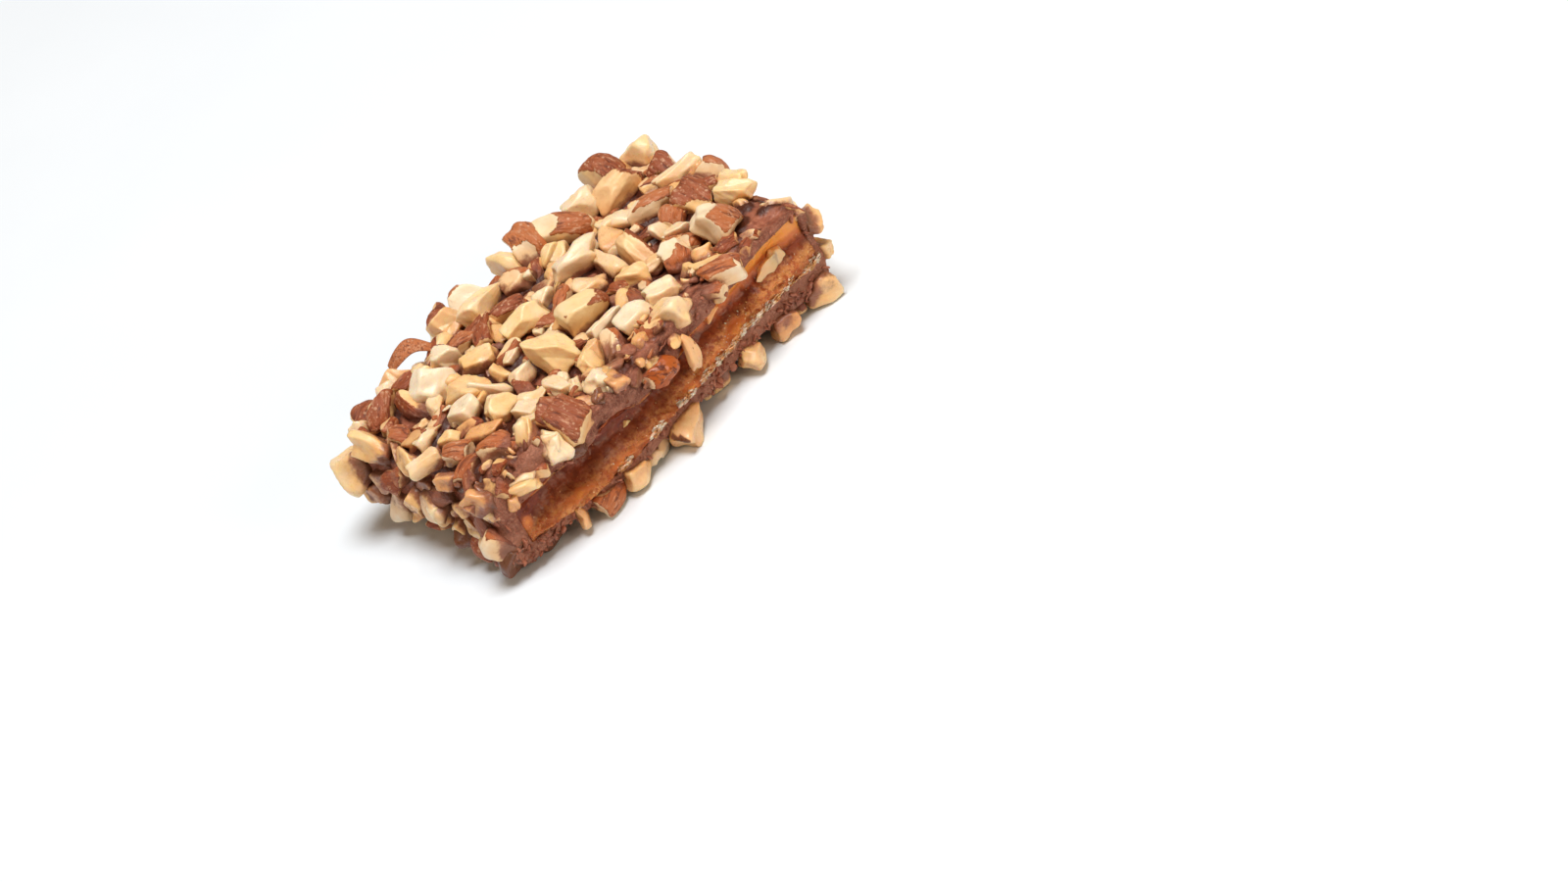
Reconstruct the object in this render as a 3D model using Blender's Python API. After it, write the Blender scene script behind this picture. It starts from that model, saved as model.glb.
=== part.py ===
"""English toffee: a square of toffee in milk chocolate and chopped almonds, snapped in two.

This is one half, and it lies flat. +X runs along the broken face to the far end, the broken face looks
to -Y, +Z is up, and the origin is under the middle, on the surface that the half lies on. It is one body of
two pieces: the toffee core, which shows at the break, and the chocolate coat with the almonds stuck to it.
"""

import math
import random
from collections import namedtuple

import bmesh
import bpy
import mathutils
import numpy as np

MM = 0.001
SEED = 7

# Chocolate slab, without its almonds
LENGTH = 48 * MM
BREAK_Y = -15.2 * MM
BACK_NEAR_Y = 11.0 * MM
BACK_FAR_Y = 16.2 * MM
BACK_BELLY = 0.7 * MM
UNDERSIDE = 2.4 * MM
TOPSIDE = 11.2 * MM
EDGE_RADIUS = 2.4 * MM
RIPPLE = 0.22 * MM

# The break isn't straight: it bulges towards -Y, most at BULGE_X
BULGE = 2.2 * MM
BULGE_X = -8 * MM
BULGE_REACH = 11 * MM

# Chocolate that ran down the near corner of the break
CORNER_LUMP = (-23.5 * MM, BREAK_Y, 3.0 * MM)
CORNER_LUMP_REACH = 4.0 * MM
CORNER_LUMP_MOVE = (-1.5 * MM, -0.2 * MM, -1.2 * MM)

# Toffee core
TOFFEE_NEAR_X = -22.9 * MM
TOFFEE_FAR_X = 23.0 * MM
TOFFEE_END_INSET = 1.2 * MM
TOFFEE_BACK_INSET = 1.5 * MM
TOFFEE_UNDERSIDE = 3.8 * MM
TOFFEE_FAR_RISE = 0.9 * MM
TOFFEE_TOPSIDE = 10.0 * MM
TROUGH = 1.7 * MM
GAP = 0.3 * MM

# How far the toffee's top edge stands above or below TOFFEE_TOPSIDE at the break: (x, height) in millimetres.
# Chocolate hangs over it near the middle, and at the far end it breaks through the top.
TOP_EDGE = (
    (-24, -2.6),
    (-13, -2.0),
    (-8, -0.7),
    (-5, -2.2),
    (1, -2.4),
    (5, -1.0),
    (13, -0.3),
    (16, 0.9),
    (24, 1.5),
)
TOP_EDGE_REACH = 2.0 * MM

# Grids that the solids are bent from: cuts along X, Y and Z
SLAB_CUTS = (15, 8, 3)
TOFFEE_CUTS = (27, 6, 7)
ROOM_CUTS = (27, 6, 1)
ROOM_PAST_BREAK = 8 * MM

# Almond pieces. Looks: white, cream and toasted have no skin, the others have skin on the side named.
Almond = namedtuple("Almond", "centre axes half look seed")
PROUD = 0.22
SUNK = 0.7 * MM
THICKNESS = 0.42
BOTTOM_CENTRE = 1.15 * MM
LARGE = 4.6 * MM
LARGE_SIDES = 5
SMALL_SIDES = 4
RINGS = 4

# Shape of an almond piece, as shares of its half sizes: the lean and reach of its knife cuts and chips, how
# crisp the edges between them are, the round skin side, and the lumps and scoops
CUT_LEAN = 0.28
CUT_REACH = (0.74, 0.96)
CHIPS = 3
CHIP_REACH = (0.82, 1.05)
CRISPNESS = 14.0
TAPER = 0.5
SKIN_FACING = 0.62
SKIN_CENTRE = 0.55
SKIN_RADIUS = 1.45
MOST_REACH = 1.25
LUMP = 0.03
SCOOPS = (0.0, 0.0, 0.14, 0.2)
SCOOP_SPREAD = 0.3
SKIN_SIDES = {
    "skin top": (0.0, -0.25, 1.0),
    "skin front": (0.0, -1.0, 0.6),
    "skin right": (1.0, -0.2, 0.5),
    "skin left": (-1.0, -0.2, 0.4),
    "skin back": (0.2, 1.0, 0.5),
}

# The almonds that stand out, placed by eye: x, depth behind the break, z, length and width in millimetres,
# then the turn of the long axis about Z and its rise, in degrees, and the look.
TOP_ALMONDS = (
    (-24.5, 21.5, 11.4, 6.5, 3.0, 105, 25, "toasted"),
    (-20.0, 24.5, 12.2, 5.4, 3.2, 40, 30, "skin front"),
    (-22.0, 19.0, 11.8, 3.6, 2.6, 125, 15, "skin top"),
    (-15.0, 28.2, 11.8, 4.2, 3.2, 115, 15, "toasted"),
    (-15.5, 20.5, 13.0, 5.6, 5.2, 5, 30, "white"),
    (-11.0, 23.5, 12.7, 3.8, 2.8, 115, 15, "white"),
    (-18.0, 20.5, 12.4, 5.6, 2.4, 90, 30, "skin left"),
    (-10.0, 18.5, 12.7, 5.6, 2.8, 145, 0, "cream"),
    (-6.0, 9.0, 13.0, 7.4, 4.4, 120, 30, "cream"),
    (-12.5, 12.5, 12.4, 6.2, 1.8, 135, 30, "white"),
    (-16.5, 12.5, 12.6, 4.4, 4.0, 140, 10, "white"),
    (-14.5, 8.5, 12.6, 4.6, 3.2, 0, 0, "cream"),
    (-13.5, 4.5, 12.4, 3.8, 2.8, 115, 15, "cream"),
    (-21.5, 8.5, 11.8, 4.4, 3.0, 130, 0, "skin top"),
    (-24.0, 12.0, 11.6, 5.2, 2.6, 155, 0, "cream"),
    (7.0, 29.6, 12.9, 6.4, 4.6, 80, 45, "skin top"),
    (11.0, 27.0, 12.8, 8.0, 3.6, 140, 15, "skin front"),
    (14.5, 28.5, 12.8, 5.4, 3.2, 160, 0, "cream"),
    (3.8, 30.2, 12.8, 4.8, 2.6, 100, 15, "cream"),
    (7.0, 20.0, 13.0, 7.6, 3.8, 170, 0, "cream"),
    (-2.3, 31.0, 12.8, 5.0, 3.0, 130, 10, "skin back"),
    (-2.5, 27.0, 12.8, 7.8, 2.8, 15, 0, "cream"),
    (-6.0, 29.5, 12.4, 4.2, 3.0, 15, 20, "toasted"),
    (-1.5, 23.0, 12.2, 5.0, 2.4, 160, 0, "skin top"),
    (-3.0, 18.0, 12.8, 7.0, 3.8, 170, 0, "cream"),
    (1.0, 16.0, 12.6, 5.6, 2.2, 15, 25, "skin top"),
    (0.5, 11.0, 12.9, 6.8, 4.8, 345, 15, "skin right"),
    (19.6, 30.8, 13.2, 5.2, 3.8, 100, 45, "skin top"),
    (24.5, 29.0, 12.6, 5.0, 3.4, 130, 0, "cream"),
    (24.0, 24.0, 12.2, 4.8, 2.6, 90, 30, "skin top"),
    (23.0, 20.0, 12.6, 6.2, 2.6, 165, 0, "cream"),
    (25.5, 16.5, 12.2, 5.0, 3.0, 110, 15, "skin right"),
    (23.0, 10.0, 12.2, 4.8, 3.2, 120, 15, "cream"),
    (17.5, 6.5, 12.8, 6.4, 5.2, 130, 30, "skin right"),
    (18.0, 26.0, 12.8, 7.2, 4.0, 340, 15, "skin right"),
    (17.5, 18.5, 12.6, 7.6, 3.0, 155, 0, "skin top"),
    (12.0, 8.0, 12.2, 5.0, 3.8, 50, 30, "skin front"),
    (11.0, 13.5, 12.6, 7.8, 2.8, 85, 35, "skin right"),
    (6.5, 4.0, 12.4, 6.0, 3.0, 165, 0, "cream"),
    (0.5, 7.5, 12.5, 5.8, 2.0, 175, 0, "white"),
    (-2.0, 3.0, 12.2, 4.8, 2.8, 50, 20, "skin right"),
    (-3.5, 5.0, 12.4, 3.8, 2.6, 25, 20, "toasted"),
)
EDGE_ALMONDS = (
    (-12.5, 1.5, 11.6, 6.4, 5.2, 105, 30, "skin top"),
    (-15.6, 0.3, 10.6, 4.2, 3.2, 40, 45, "white"),
    (-16.8, 2.4, 11.8, 5.4, 3.0, 25, 40, "cream"),
    (-19.2, 4.4, 11.8, 4.6, 4.4, 125, 0, "skin top"),
    (-22.4, 5.8, 11.2, 4.4, 2.8, 10, 0, "skin top"),
    (-20.8, 0.3, 9.6, 4.8, 2.6, 150, 0, "white"),
    (-24.6, 2.6, 9.6, 5.0, 2.6, 170, 0, "toasted"),
    (4.4, 1.6, 11.9, 5.8, 3.8, 140, 0, "cream"),
    (12.8, 1.8, 11.8, 6.2, 3.2, 130, 0, "skin front"),
    (18.0, 1.7, 11.6, 3.6, 1.4, 135, 0, "white"),
    (-1.9, 0.0, 9.4, 5.2, 3.4, 135, 0, "skin front"),
)
END_ALMONDS = (
    (-25.2, 27.0, 7.5, 6.6, 4.6, 90, 5, "cream"),
    (-25.0, 16.0, 5.9, 5.0, 3.4, 90, -60, "toasted"),
    (-24.8, 9.5, 8.4, 5.4, 2.4, 90, -15, "skin left"),
    (-24.8, 18.0, 8.6, 5.0, 2.6, 90, -25, "skin left"),
    (-24.4, 2.6, 6.6, 4.2, 2.6, 90, 60, "skin left"),
    (-25.0, 6.0, 4.9, 3.6, 2.2, 90, 40, "white"),
    (-24.8, 3.2, 3.0, 4.6, 2.4, 90, -5, "cream"),
    (-26.0, 0.9, 2.0, 4.6, 2.6, 90, -75, "cream"),
    (25.0, 1.0, 8.9, 3.4, 2.8, 90, 70, "cream"),
)
UNDER_ALMONDS = (
    (21.4, 0.4, 1.15, 5.2, 3.0, 160, 0, "white"),
    (15.8, 0.6, 1.15, 4.6, 3.2, 90, 0, "white"),
    (5.8, 1.4, 1.15, 4.0, 2.6, 170, 0, "cream"),
    (0.3, 1.6, 1.15, 6.4, 3.2, 30, 0, "cream"),
    (-6.7, 2.2, 1.15, 5.6, 2.0, 175, 0, "toasted"),
    (-20.4, 0.8, 1.15, 3.8, 2.2, 10, 0, "toasted"),
    (-23.6, 1.2, 1.15, 4.8, 3.0, 90, -30, "cream"),
    (0.0, 15.2, 1.15, 7.0, 5.0, 20, 0, "skin top"),
)

# Almonds strewn over the rest, largest first: length in millimetres, and how many at most on each side
STREWN_SIDES = ("top", "under", "back", "near", "far")
STREWN = (
    (5.8, (5, 9, 7, 3, 6)),
    (5.0, (8, 9, 6, 3, 5)),
    (4.3, (12, 6, 5, 4, 3)),
    (3.7, (8, 0, 1, 1, 1)),
)
CANDIDATES = 24
SPACING = 0.72
LOOKS = ("white", "cream", "cream", "toasted", "skin top", "skin right", "skin left", "skin front")

# Base colours
CHOCOLATE = (0.30, 0.15, 0.09)
AMBER = (0.45, 0.14, 0.02)

# Bare chocolate: x and depth of each patch's middle, and its radius, in millimetres
BARE_PATCHES = ((21.5, 3.2, 4.0), (9.0, 6.5, 2.4))


def line_between(x, places):
    """Reads a line of (x, height) places, in millimetres, at each x."""
    return np.interp(x, [p[0] * MM for p in places], [p[1] * MM for p in places])


def smooth_step(x, start, end):
    share = np.clip((x - start) / (end - start), 0.0, 1.0)
    return share * share * (3.0 - 2.0 * share)


def ripple(x, y, phase):
    """Low waves in the chocolate, where it flowed and set."""
    return RIPPLE * (np.sin(x / (2.9 * MM) + phase) + np.sin(y / (2.3 * MM) + 1.7 * phase))


def break_line(x):
    """Y of the broken face."""
    bulge = BULGE * np.exp(-(((x - BULGE_X) / BULGE_REACH) ** 2))
    return BREAK_Y - bulge


def back_line(x):
    share = np.clip(x / LENGTH + 0.5, 0.0, 1.0)
    return BACK_NEAR_Y + (BACK_FAR_Y - BACK_NEAR_Y) * share + BACK_BELLY * np.sin(math.pi * share)


def slab_places(points):
    """Turns (x, depth as a share of the width, height as a share of the thickness) into places on the slab.

    Its corners are rounded, except along the break."""
    width = BACK_FAR_Y - BREAK_Y
    sides = np.array([LENGTH, width, TOPSIDE - UNDERSIDE])
    block = points * sides
    low = np.array([-LENGTH / 2 + EDGE_RADIUS, 0.0, EDGE_RADIUS])
    high = np.array([LENGTH / 2, width, sides[2]]) - EDGE_RADIUS
    inner = np.clip(block, low, high)
    out = block - inner
    reach = np.maximum(np.linalg.norm(out, axis=1), 1e-9)
    block = inner + out * np.minimum(1.0, EDGE_RADIUS / reach)[:, None]
    x, depth, height = block.T
    front = break_line(x)
    y = front + depth / width * (back_line(x) - front)
    x = x + ripple(y, height, 2.0) * np.abs(points[:, 0]) * 2
    y = y + ripple(x, height, 1.0) * points[:, 1]
    share = height / sides[2]
    z = UNDERSIDE + height + ripple(x, y, 0.5) * share + ripple(x, y, 4.0) * (1 - share)
    places = np.stack([x, y, z], axis=1)
    far = np.linalg.norm(places - CORNER_LUMP, axis=1) / CORNER_LUMP_REACH
    return places + np.exp(-(far**2))[:, None] * CORNER_LUMP_MOVE


def block_mesh(cuts):
    """A closed block, -0.5 to 0.5 in X and 0 to 1 in Y and Z, cut into a grid."""
    mesh = bmesh.new()
    bmesh.ops.create_cube(mesh, size=1.0)
    bmesh.ops.translate(mesh, verts=mesh.verts, vec=(0.0, 0.5, 0.5))
    for axis, count in enumerate(cuts):
        along = [e for e in mesh.edges if abs(e.verts[0].co[axis] - e.verts[1].co[axis]) > 0.5]
        bmesh.ops.subdivide_edges(mesh, edges=along, cuts=count, use_grid_fill=True)
    return mesh


def object_from(mesh, name):
    """Makes an object of a bmesh, with its faces outwards."""
    bmesh.ops.recalc_face_normals(mesh, faces=mesh.faces)
    data = bpy.data.meshes.new(name)
    mesh.to_mesh(data)
    mesh.free()
    made = bpy.data.objects.new(name, data)
    bpy.context.scene.collection.objects.link(made)
    return made


def moved(mesh, places):
    """Moves a bmesh's vertices to an array of places."""
    for vertex, place in zip(mesh.verts, places):
        vertex.co = place
    return mesh


def vertex_array(mesh):
    return np.array([vertex.co[:] for vertex in mesh.verts])


def slab():
    mesh = block_mesh(SLAB_CUTS)
    return object_from(moved(mesh, slab_places(vertex_array(mesh))), "chocolate_almond_coat")


def toffee_top(x, depth):
    edge = line_between(x, TOP_EDGE)
    return TOFFEE_TOPSIDE + edge * np.exp(-np.maximum(depth, 0.0) / TOP_EDGE_REACH)


def toffee_underside(x):
    return TOFFEE_UNDERSIDE + TOFFEE_FAR_RISE * smooth_step(x, 2 * MM, 20 * MM)


def toffee_core(name, cuts, grow=0.0, front=0.0):
    """The toffee, or the solid that cuts its room in the coat.

    grow enlarges it all over, and front carries it out past the break."""
    mesh = block_mesh(cuts)
    across, share, rise = vertex_array(mesh).T
    inset = TOFFEE_END_INSET * smooth_step(share, 0.1, 0.45) - grow
    x = TOFFEE_NEAR_X + inset + (across + 0.5) * (TOFFEE_FAR_X - TOFFEE_NEAR_X - 2 * inset)
    room = back_line(x) - TOFFEE_BACK_INSET + grow - break_line(x)
    depth = np.where(share > 0.0, share**1.8 * room, -front)
    if not front:
        hollow = np.sin(math.pi * np.clip(rise, 0.0, 1.0)) ** 0.7
        depth = depth + (0.35 * MM + TROUGH * hollow) * (1.0 - share) ** 4
    y = break_line(x) + depth
    low = toffee_underside(x) - grow
    z = low + rise * (toffee_top(x, depth) + grow - low)
    return object_from(moved(mesh, np.stack([x, y, z], axis=1)), name)


def unit(vector):
    vector = np.asarray(vector, float)
    return vector / np.linalg.norm(vector)


def off_slab(place):
    """The way out of the slab at a place on or near it, and how far off its surface the place lies."""
    x, y, z = place
    inner = np.array(
        [
            np.clip(x, EDGE_RADIUS - LENGTH / 2, LENGTH / 2 - EDGE_RADIUS),
            min(y, back_line(x) - EDGE_RADIUS),
            np.clip(z, UNDERSIDE + EDGE_RADIUS, TOPSIDE - EDGE_RADIUS),
        ]
    )
    away = np.asarray(place) - inner
    distance = max(np.linalg.norm(away), 0.001 * MM)
    return away / distance, distance - EDGE_RADIUS


def almond_from(centre, long, wide, axis, look, seed):
    """An almond piece whose long axis is axis. One that stands off the chocolate is made to reach into it."""
    out, lift = off_slab(centre)
    wide_way = np.cross(out, axis)
    if np.linalg.norm(wide_way) < 0.2:
        wide_way = np.cross((0.3, 0.2, 1.0), axis)
    wide_way = unit(wide_way)
    axes = np.stack([axis, wide_way, np.cross(axis, wide_way)])
    thick = THICKNESS * wide
    missing = max(0.0, lift + SUNK - thick) / 2
    half = np.array([long / 2, wide / 2, thick + missing])
    return Almond(np.array(centre) - out * missing, axes, half, look, seed)


def shown_almonds():
    """The almonds placed by eye."""
    made = []
    for row in TOP_ALMONDS + EDGE_ALMONDS + END_ALMONDS + UNDER_ALMONDS:
        x, depth, z, long, wide = (value * MM for value in row[:5])
        turn, rise = math.radians(row[5]), math.radians(row[6])
        axis = unit((math.cos(turn) * math.cos(rise), math.sin(turn) * math.cos(rise), math.sin(rise)))
        y = BREAK_Y + depth if row not in EDGE_ALMONDS else break_line(x) + depth
        made.append(almond_from((x, y, z), long, wide, axis, row[7], SEED * 1000 + len(made)))
    return made


def random_spot(rng, side):
    """A place on one side of the slab, as shares of it."""
    a, b = rng.random(), rng.random()
    spots = {
        "top": (a - 0.5, b, 1.0),
        "under": (a - 0.5, b, 0.0),
        "back": (a - 0.5, 1.0, b),
        "near": (-0.5, a, b),
        "far": (0.5, a, b),
    }
    return np.array([spots[side]])


def is_bare(x, y, side):
    """True where the chocolate shows without almonds, or where an almond would hang over the break."""
    depth = (y - break_line(x)) / MM
    if depth < 1.3:
        return True
    near = [math.hypot(x / MM - px, depth - py) < radius for px, py, radius in BARE_PATCHES]
    return side == "top" and any(near)


def candidate(rng, long, side):
    """A strewn almond somewhere on one side, or None where none should lie."""
    wide = long * rng.uniform(0.45, 0.8)
    place = slab_places(random_spot(rng, side))[0]
    turn, rise = rng.uniform(0, math.pi), rng.gauss(0.0, 0.35)
    look = rng.choice(LOOKS)
    if is_bare(place[0], place[1], side):
        return None
    out, _ = off_slab(place)
    first = unit(np.cross(out, (0.31, 0.85, 0.42)))
    flat = math.cos(turn) * first + math.sin(turn) * np.cross(out, first)
    centre = place + out * PROUD * wide
    if side == "under":
        rise = 0.0
        centre[2] = BOTTOM_CENTRE
    return centre, long, wide, unit(flat + math.tan(rise) * out), look


def clearance(found, strewn):
    """Distance from an almond to its nearest neighbour, as a share of their mean sizes together."""
    centre, long, wide = found[:3]
    return min(
        np.linalg.norm(centre - other.centre) / ((long + wide) / 4 + (other.half[0] + other.half[1]) / 2)
        for other in strewn
    )


def strewn_almonds(made):
    """Adds almonds one by one, each in the roomiest of a few random places."""
    rng = random.Random(SEED)
    strewn = list(made)
    for long_mm, counts in STREWN:
        for side, count in zip(STREWN_SIDES, counts):
            for _ in range(count):
                long = long_mm * MM * rng.uniform(0.88, 1.12)
                found = [candidate(rng, long, side) for _ in range(CANDIDATES)]
                found = [(clearance(one, strewn), one) for one in found if one is not None]
                room, best = max(found, key=lambda pair: pair[0])
                if room > SPACING:
                    strewn.append(almond_from(*best, SEED * 1000 + len(strewn)))
    return strewn


def knife_cuts(rng, skin):
    """Planes that an almond piece was chopped along: a normal and a distance each. Its skin side has none."""
    taper = rng.uniform(0.0, TAPER)
    cuts = []
    for axis in range(3):
        for sign in (-1.0, 1.0):
            normal = np.array([rng.uniform(-CUT_LEAN, CUT_LEAN) for _ in range(3)])
            normal[axis] = sign
            if axis:
                normal[0] += taper
            cuts.append((unit(normal), rng.uniform(*CUT_REACH)))
    for _ in range(CHIPS):
        normal = unit([rng.gauss(0, 1) for _ in range(3)])
        cuts.append((normal, rng.uniform(*CHIP_REACH)))
    return [cut for cut in cuts if skin is None or cut[0] @ skin < SKIN_FACING]


def softly_least(reaches):
    """The least of several reaches, rounded off where two of them are nearly equal."""
    return np.sum([reach**-CRISPNESS for reach in reaches], axis=0) ** (-1 / CRISPNESS)


def almond_reach(almond, ways):
    """How far an almond piece reaches along each unit direction, as a share of its half sizes.

    A piece of chopped almond has a few knife cuts and, where it has skin, a part of the almond's outside.
    The second result is above 0 where that outside is the surface."""
    rng = random.Random(almond.seed)
    skin = None
    if almond.look in SKIN_SIDES:
        skin = unit(almond.axes @ np.array(SKIN_SIDES[almond.look]))
    planes = knife_cuts(rng, skin)
    cut = softly_least([distance / np.maximum(ways @ normal, 0.02) for normal, distance in planes])
    outside = np.full(len(ways), 9.0)
    if skin is not None:
        along = SKIN_CENTRE * (ways @ skin)
        outside = np.sqrt(along**2 - SKIN_CENTRE**2 + SKIN_RADIUS**2) - along
    lumps = 1.0
    for _ in range(3):
        wave = np.array([rng.uniform(-6, 6) for _ in range(3)])
        lumps = lumps + LUMP * np.sin(ways @ wave + rng.uniform(0, 6))
    scoop = unit([rng.gauss(0, 1) for _ in range(3)])
    dent = rng.choice(SCOOPS) * np.exp(-np.sum((ways - scoop) ** 2, axis=1) / SCOOP_SPREAD)
    whole = np.minimum(softly_least([cut, outside]), MOST_REACH)
    return whole * lumps * (1.0 - dent), cut - outside


def almond_solid(almond, name):
    """One almond piece with few faces."""
    mesh = bmesh.new()
    sides = LARGE_SIDES if 2 * almond.half[0] > LARGE else SMALL_SIDES
    bmesh.ops.create_uvsphere(mesh, u_segments=sides, v_segments=RINGS, radius=1.0)
    ways = vertex_array(mesh)[:, [2, 0, 1]]
    ways = ways / np.linalg.norm(ways, axis=1)[:, None]
    reach, _ = almond_reach(almond, ways)
    places = almond.centre + (ways * reach[:, None] * almond.half) @ almond.axes
    return object_from(moved(mesh, places), name)


def tray_block():
    """A block under the surface that the half lies on, which flattens the almonds there."""
    mesh = bmesh.new()
    bmesh.ops.create_cube(mesh, size=2 * LENGTH)
    bmesh.ops.translate(mesh, verts=mesh.verts, vec=(0.0, 0.0, -LENGTH))
    return object_from(mesh, "tray")


def collection_of(objects, name):
    group = bpy.data.collections.new(name)
    bpy.context.scene.collection.children.link(group)
    for item in objects:
        bpy.context.scene.collection.objects.unlink(item)
        group.objects.link(item)
    return group


def boolean(target, group, operation):
    """Joins a collection's objects to the target, or cuts them from it, and removes them."""
    modifier = target.modifiers.new(operation.lower(), "BOOLEAN")
    modifier.operation = operation
    modifier.operand_type = "COLLECTION"
    modifier.collection = group
    modifier.solver = "EXACT"
    graph = bpy.context.evaluated_depsgraph_get()
    result = bpy.data.meshes.new_from_object(target.evaluated_get(graph))
    target.modifiers.clear()
    target.data = result
    for item in list(group.objects):
        bpy.data.objects.remove(item)
    bpy.data.collections.remove(group)


def keep_largest_shell(target):
    """Drops loose scraps, and fills hollows that the joining sealed."""
    mesh = bmesh.new()
    mesh.from_mesh(target.data)
    bmesh.ops.remove_doubles(mesh, verts=mesh.verts, dist=0.001 * MM)
    left = set(mesh.verts)
    shells = []
    while left:
        shell, edge = set(), [left.pop()]
        while edge:
            vertex = edge.pop()
            shell.add(vertex)
            for link in vertex.link_edges:
                other = link.other_vert(vertex)
                if other in left:
                    left.remove(other)
                    edge.append(other)
        shells.append(shell)
    shells.sort(key=len)
    for shell in shells[:-1]:
        middle = sum((vertex.co for vertex in shell), mathutils.Vector()) / len(shell) / MM
        print("loose scrap dropped at", *(round(value, 1) for value in middle))
        bmesh.ops.delete(mesh, geom=list(shell), context="VERTS")
    bmesh.ops.triangulate(mesh, faces=mesh.faces)
    mesh.to_mesh(target.data)
    mesh.free()


def centre_over_origin(parts):
    """Moves the parts together, so that the middle of their box is over the origin."""
    places = np.concatenate([[vertex.co[:] for vertex in part.data.vertices] for part in parts])
    low, high = places.min(axis=0), places.max(axis=0)
    shift = mathutils.Vector((-(low[0] + high[0]) / 2, -(low[1] + high[1]) / 2, 0.0))
    for part in parts:
        part.data.transform(mathutils.Matrix.Translation(shift))
    print("moved by", *(round(value / MM, 3) for value in shift))


def give_material(target, name, colour, roughness):
    material = bpy.data.materials.new(name)
    material.use_nodes = True
    shader = material.node_tree.nodes["Principled BSDF"]
    shader.inputs["Base Color"].default_value = (*colour, 1.0)
    shader.inputs["Roughness"].default_value = roughness
    target.data.materials.clear()
    target.data.materials.append(material)


def build():
    for item in list(bpy.data.objects):
        bpy.data.objects.remove(item)
    coat = slab()
    almonds = strewn_almonds(shown_almonds())
    print(len(almonds), "almond pieces")
    solids = [almond_solid(almond, f"almond_{index:03d}") for index, almond in enumerate(almonds)]
    boolean(coat, collection_of(solids, "almonds"), "UNION")
    room = toffee_core("room", ROOM_CUTS, GAP, ROOM_PAST_BREAK)
    boolean(coat, collection_of([room, tray_block()], "cutters"), "DIFFERENCE")
    keep_largest_shell(coat)
    toffee = toffee_core("toffee", TOFFEE_CUTS)
    centre_over_origin([coat, toffee])
    give_material(coat, "chocolate_almond_coat", CHOCOLATE, 0.5)
    give_material(toffee, "toffee", AMBER, 0.2)


if __name__ == "__main__":
    build()
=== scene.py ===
"""The looks of half an english toffee square: amber toffee, milk chocolate and chopped almonds.

Lengths named in MM are metres in the part's frame: +X along the broken face to the far end, the broken
face looks to -Y, and +Z is up. The slab, the toffee and the larger almonds follow the part's source.
"""

import math
import random
from collections import namedtuple

import bmesh
import bpy
import numpy as np
from mathutils import Matrix, Vector, noise
from mathutils.bvhtree import BVHTree


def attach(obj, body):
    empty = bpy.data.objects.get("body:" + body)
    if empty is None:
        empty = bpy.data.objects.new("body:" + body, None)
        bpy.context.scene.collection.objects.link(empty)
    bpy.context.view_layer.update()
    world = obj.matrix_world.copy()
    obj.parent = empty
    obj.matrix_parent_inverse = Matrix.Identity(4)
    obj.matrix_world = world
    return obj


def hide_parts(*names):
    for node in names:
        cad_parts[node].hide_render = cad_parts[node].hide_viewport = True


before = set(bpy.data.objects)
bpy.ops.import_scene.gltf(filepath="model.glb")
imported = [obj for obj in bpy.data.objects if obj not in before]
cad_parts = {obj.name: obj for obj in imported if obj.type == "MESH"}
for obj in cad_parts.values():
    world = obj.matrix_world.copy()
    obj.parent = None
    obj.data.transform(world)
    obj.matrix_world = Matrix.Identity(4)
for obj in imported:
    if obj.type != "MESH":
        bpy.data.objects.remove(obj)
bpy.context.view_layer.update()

MM = 0.001

# Seeds: of the draws that strew, and of each kind of almond piece
SEED = 7
OWN_SEED = SEED * 1000
FILLING_SEED = SEED * 2000
SMALL_SEED = SEED * 3000
CRUMB_SEED = SEED * 5000
BURIED_SEED = SEED * 7000

# The part's source moves its solids by this much, so that the middle of their box is over the origin
SHIFT = Vector((0.216 * MM, 0.527 * MM, 0.0))

# Camera: its scale, the place it was fitted to, where that place shows in a picture of 1600 x 900, as
# shares of its width off the middle, and its direction
PICTURE_WIDTH = 1600
PIXELS_PER_MM = 9.416
VIEW_TARGET = Vector((0.0, -2.7 * MM, 7.4 * MM)) + SHIFT
TARGET_RIGHT = (605.75 - 800) / PICTURE_WIDTH
TARGET_DOWN = (358.54 - 450) / PICTURE_WIDTH
AZIMUTH = math.radians(-24.61)
ELEVATION = math.radians(29.97)
ROLL = math.radians(29.11)
CAMERA_DISTANCE = 600 * MM
SENSOR = 36.0
LENS = PIXELS_PER_MM * CAMERA_DISTANCE / MM * SENSOR / PICTURE_WIDTH

# Chocolate slab, without its almonds
LENGTH = 48 * MM
BREAK_Y = -15.2 * MM
BACK_NEAR_Y = 11.0 * MM
BACK_FAR_Y = 16.2 * MM
BACK_BELLY = 0.7 * MM
UNDERSIDE = 2.4 * MM
TOPSIDE = 11.2 * MM
EDGE_RADIUS = 2.4 * MM
RIPPLE = 0.22 * MM
RIPPLE_X = 2.9 * MM
RIPPLE_Y = 2.3 * MM

# The break isn't straight: it bulges towards -Y, most at BULGE_X
BULGE = 2.2 * MM
BULGE_X = -8 * MM
BULGE_REACH = 11 * MM

# Chocolate that ran down the near corner of the break
CORNER_LUMP = np.array((-23.5 * MM, BREAK_Y, 3.0 * MM))
CORNER_LUMP_REACH = 4.0 * MM
CORNER_LUMP_MOVE = (-1.5 * MM, -0.2 * MM, -1.2 * MM)

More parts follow.
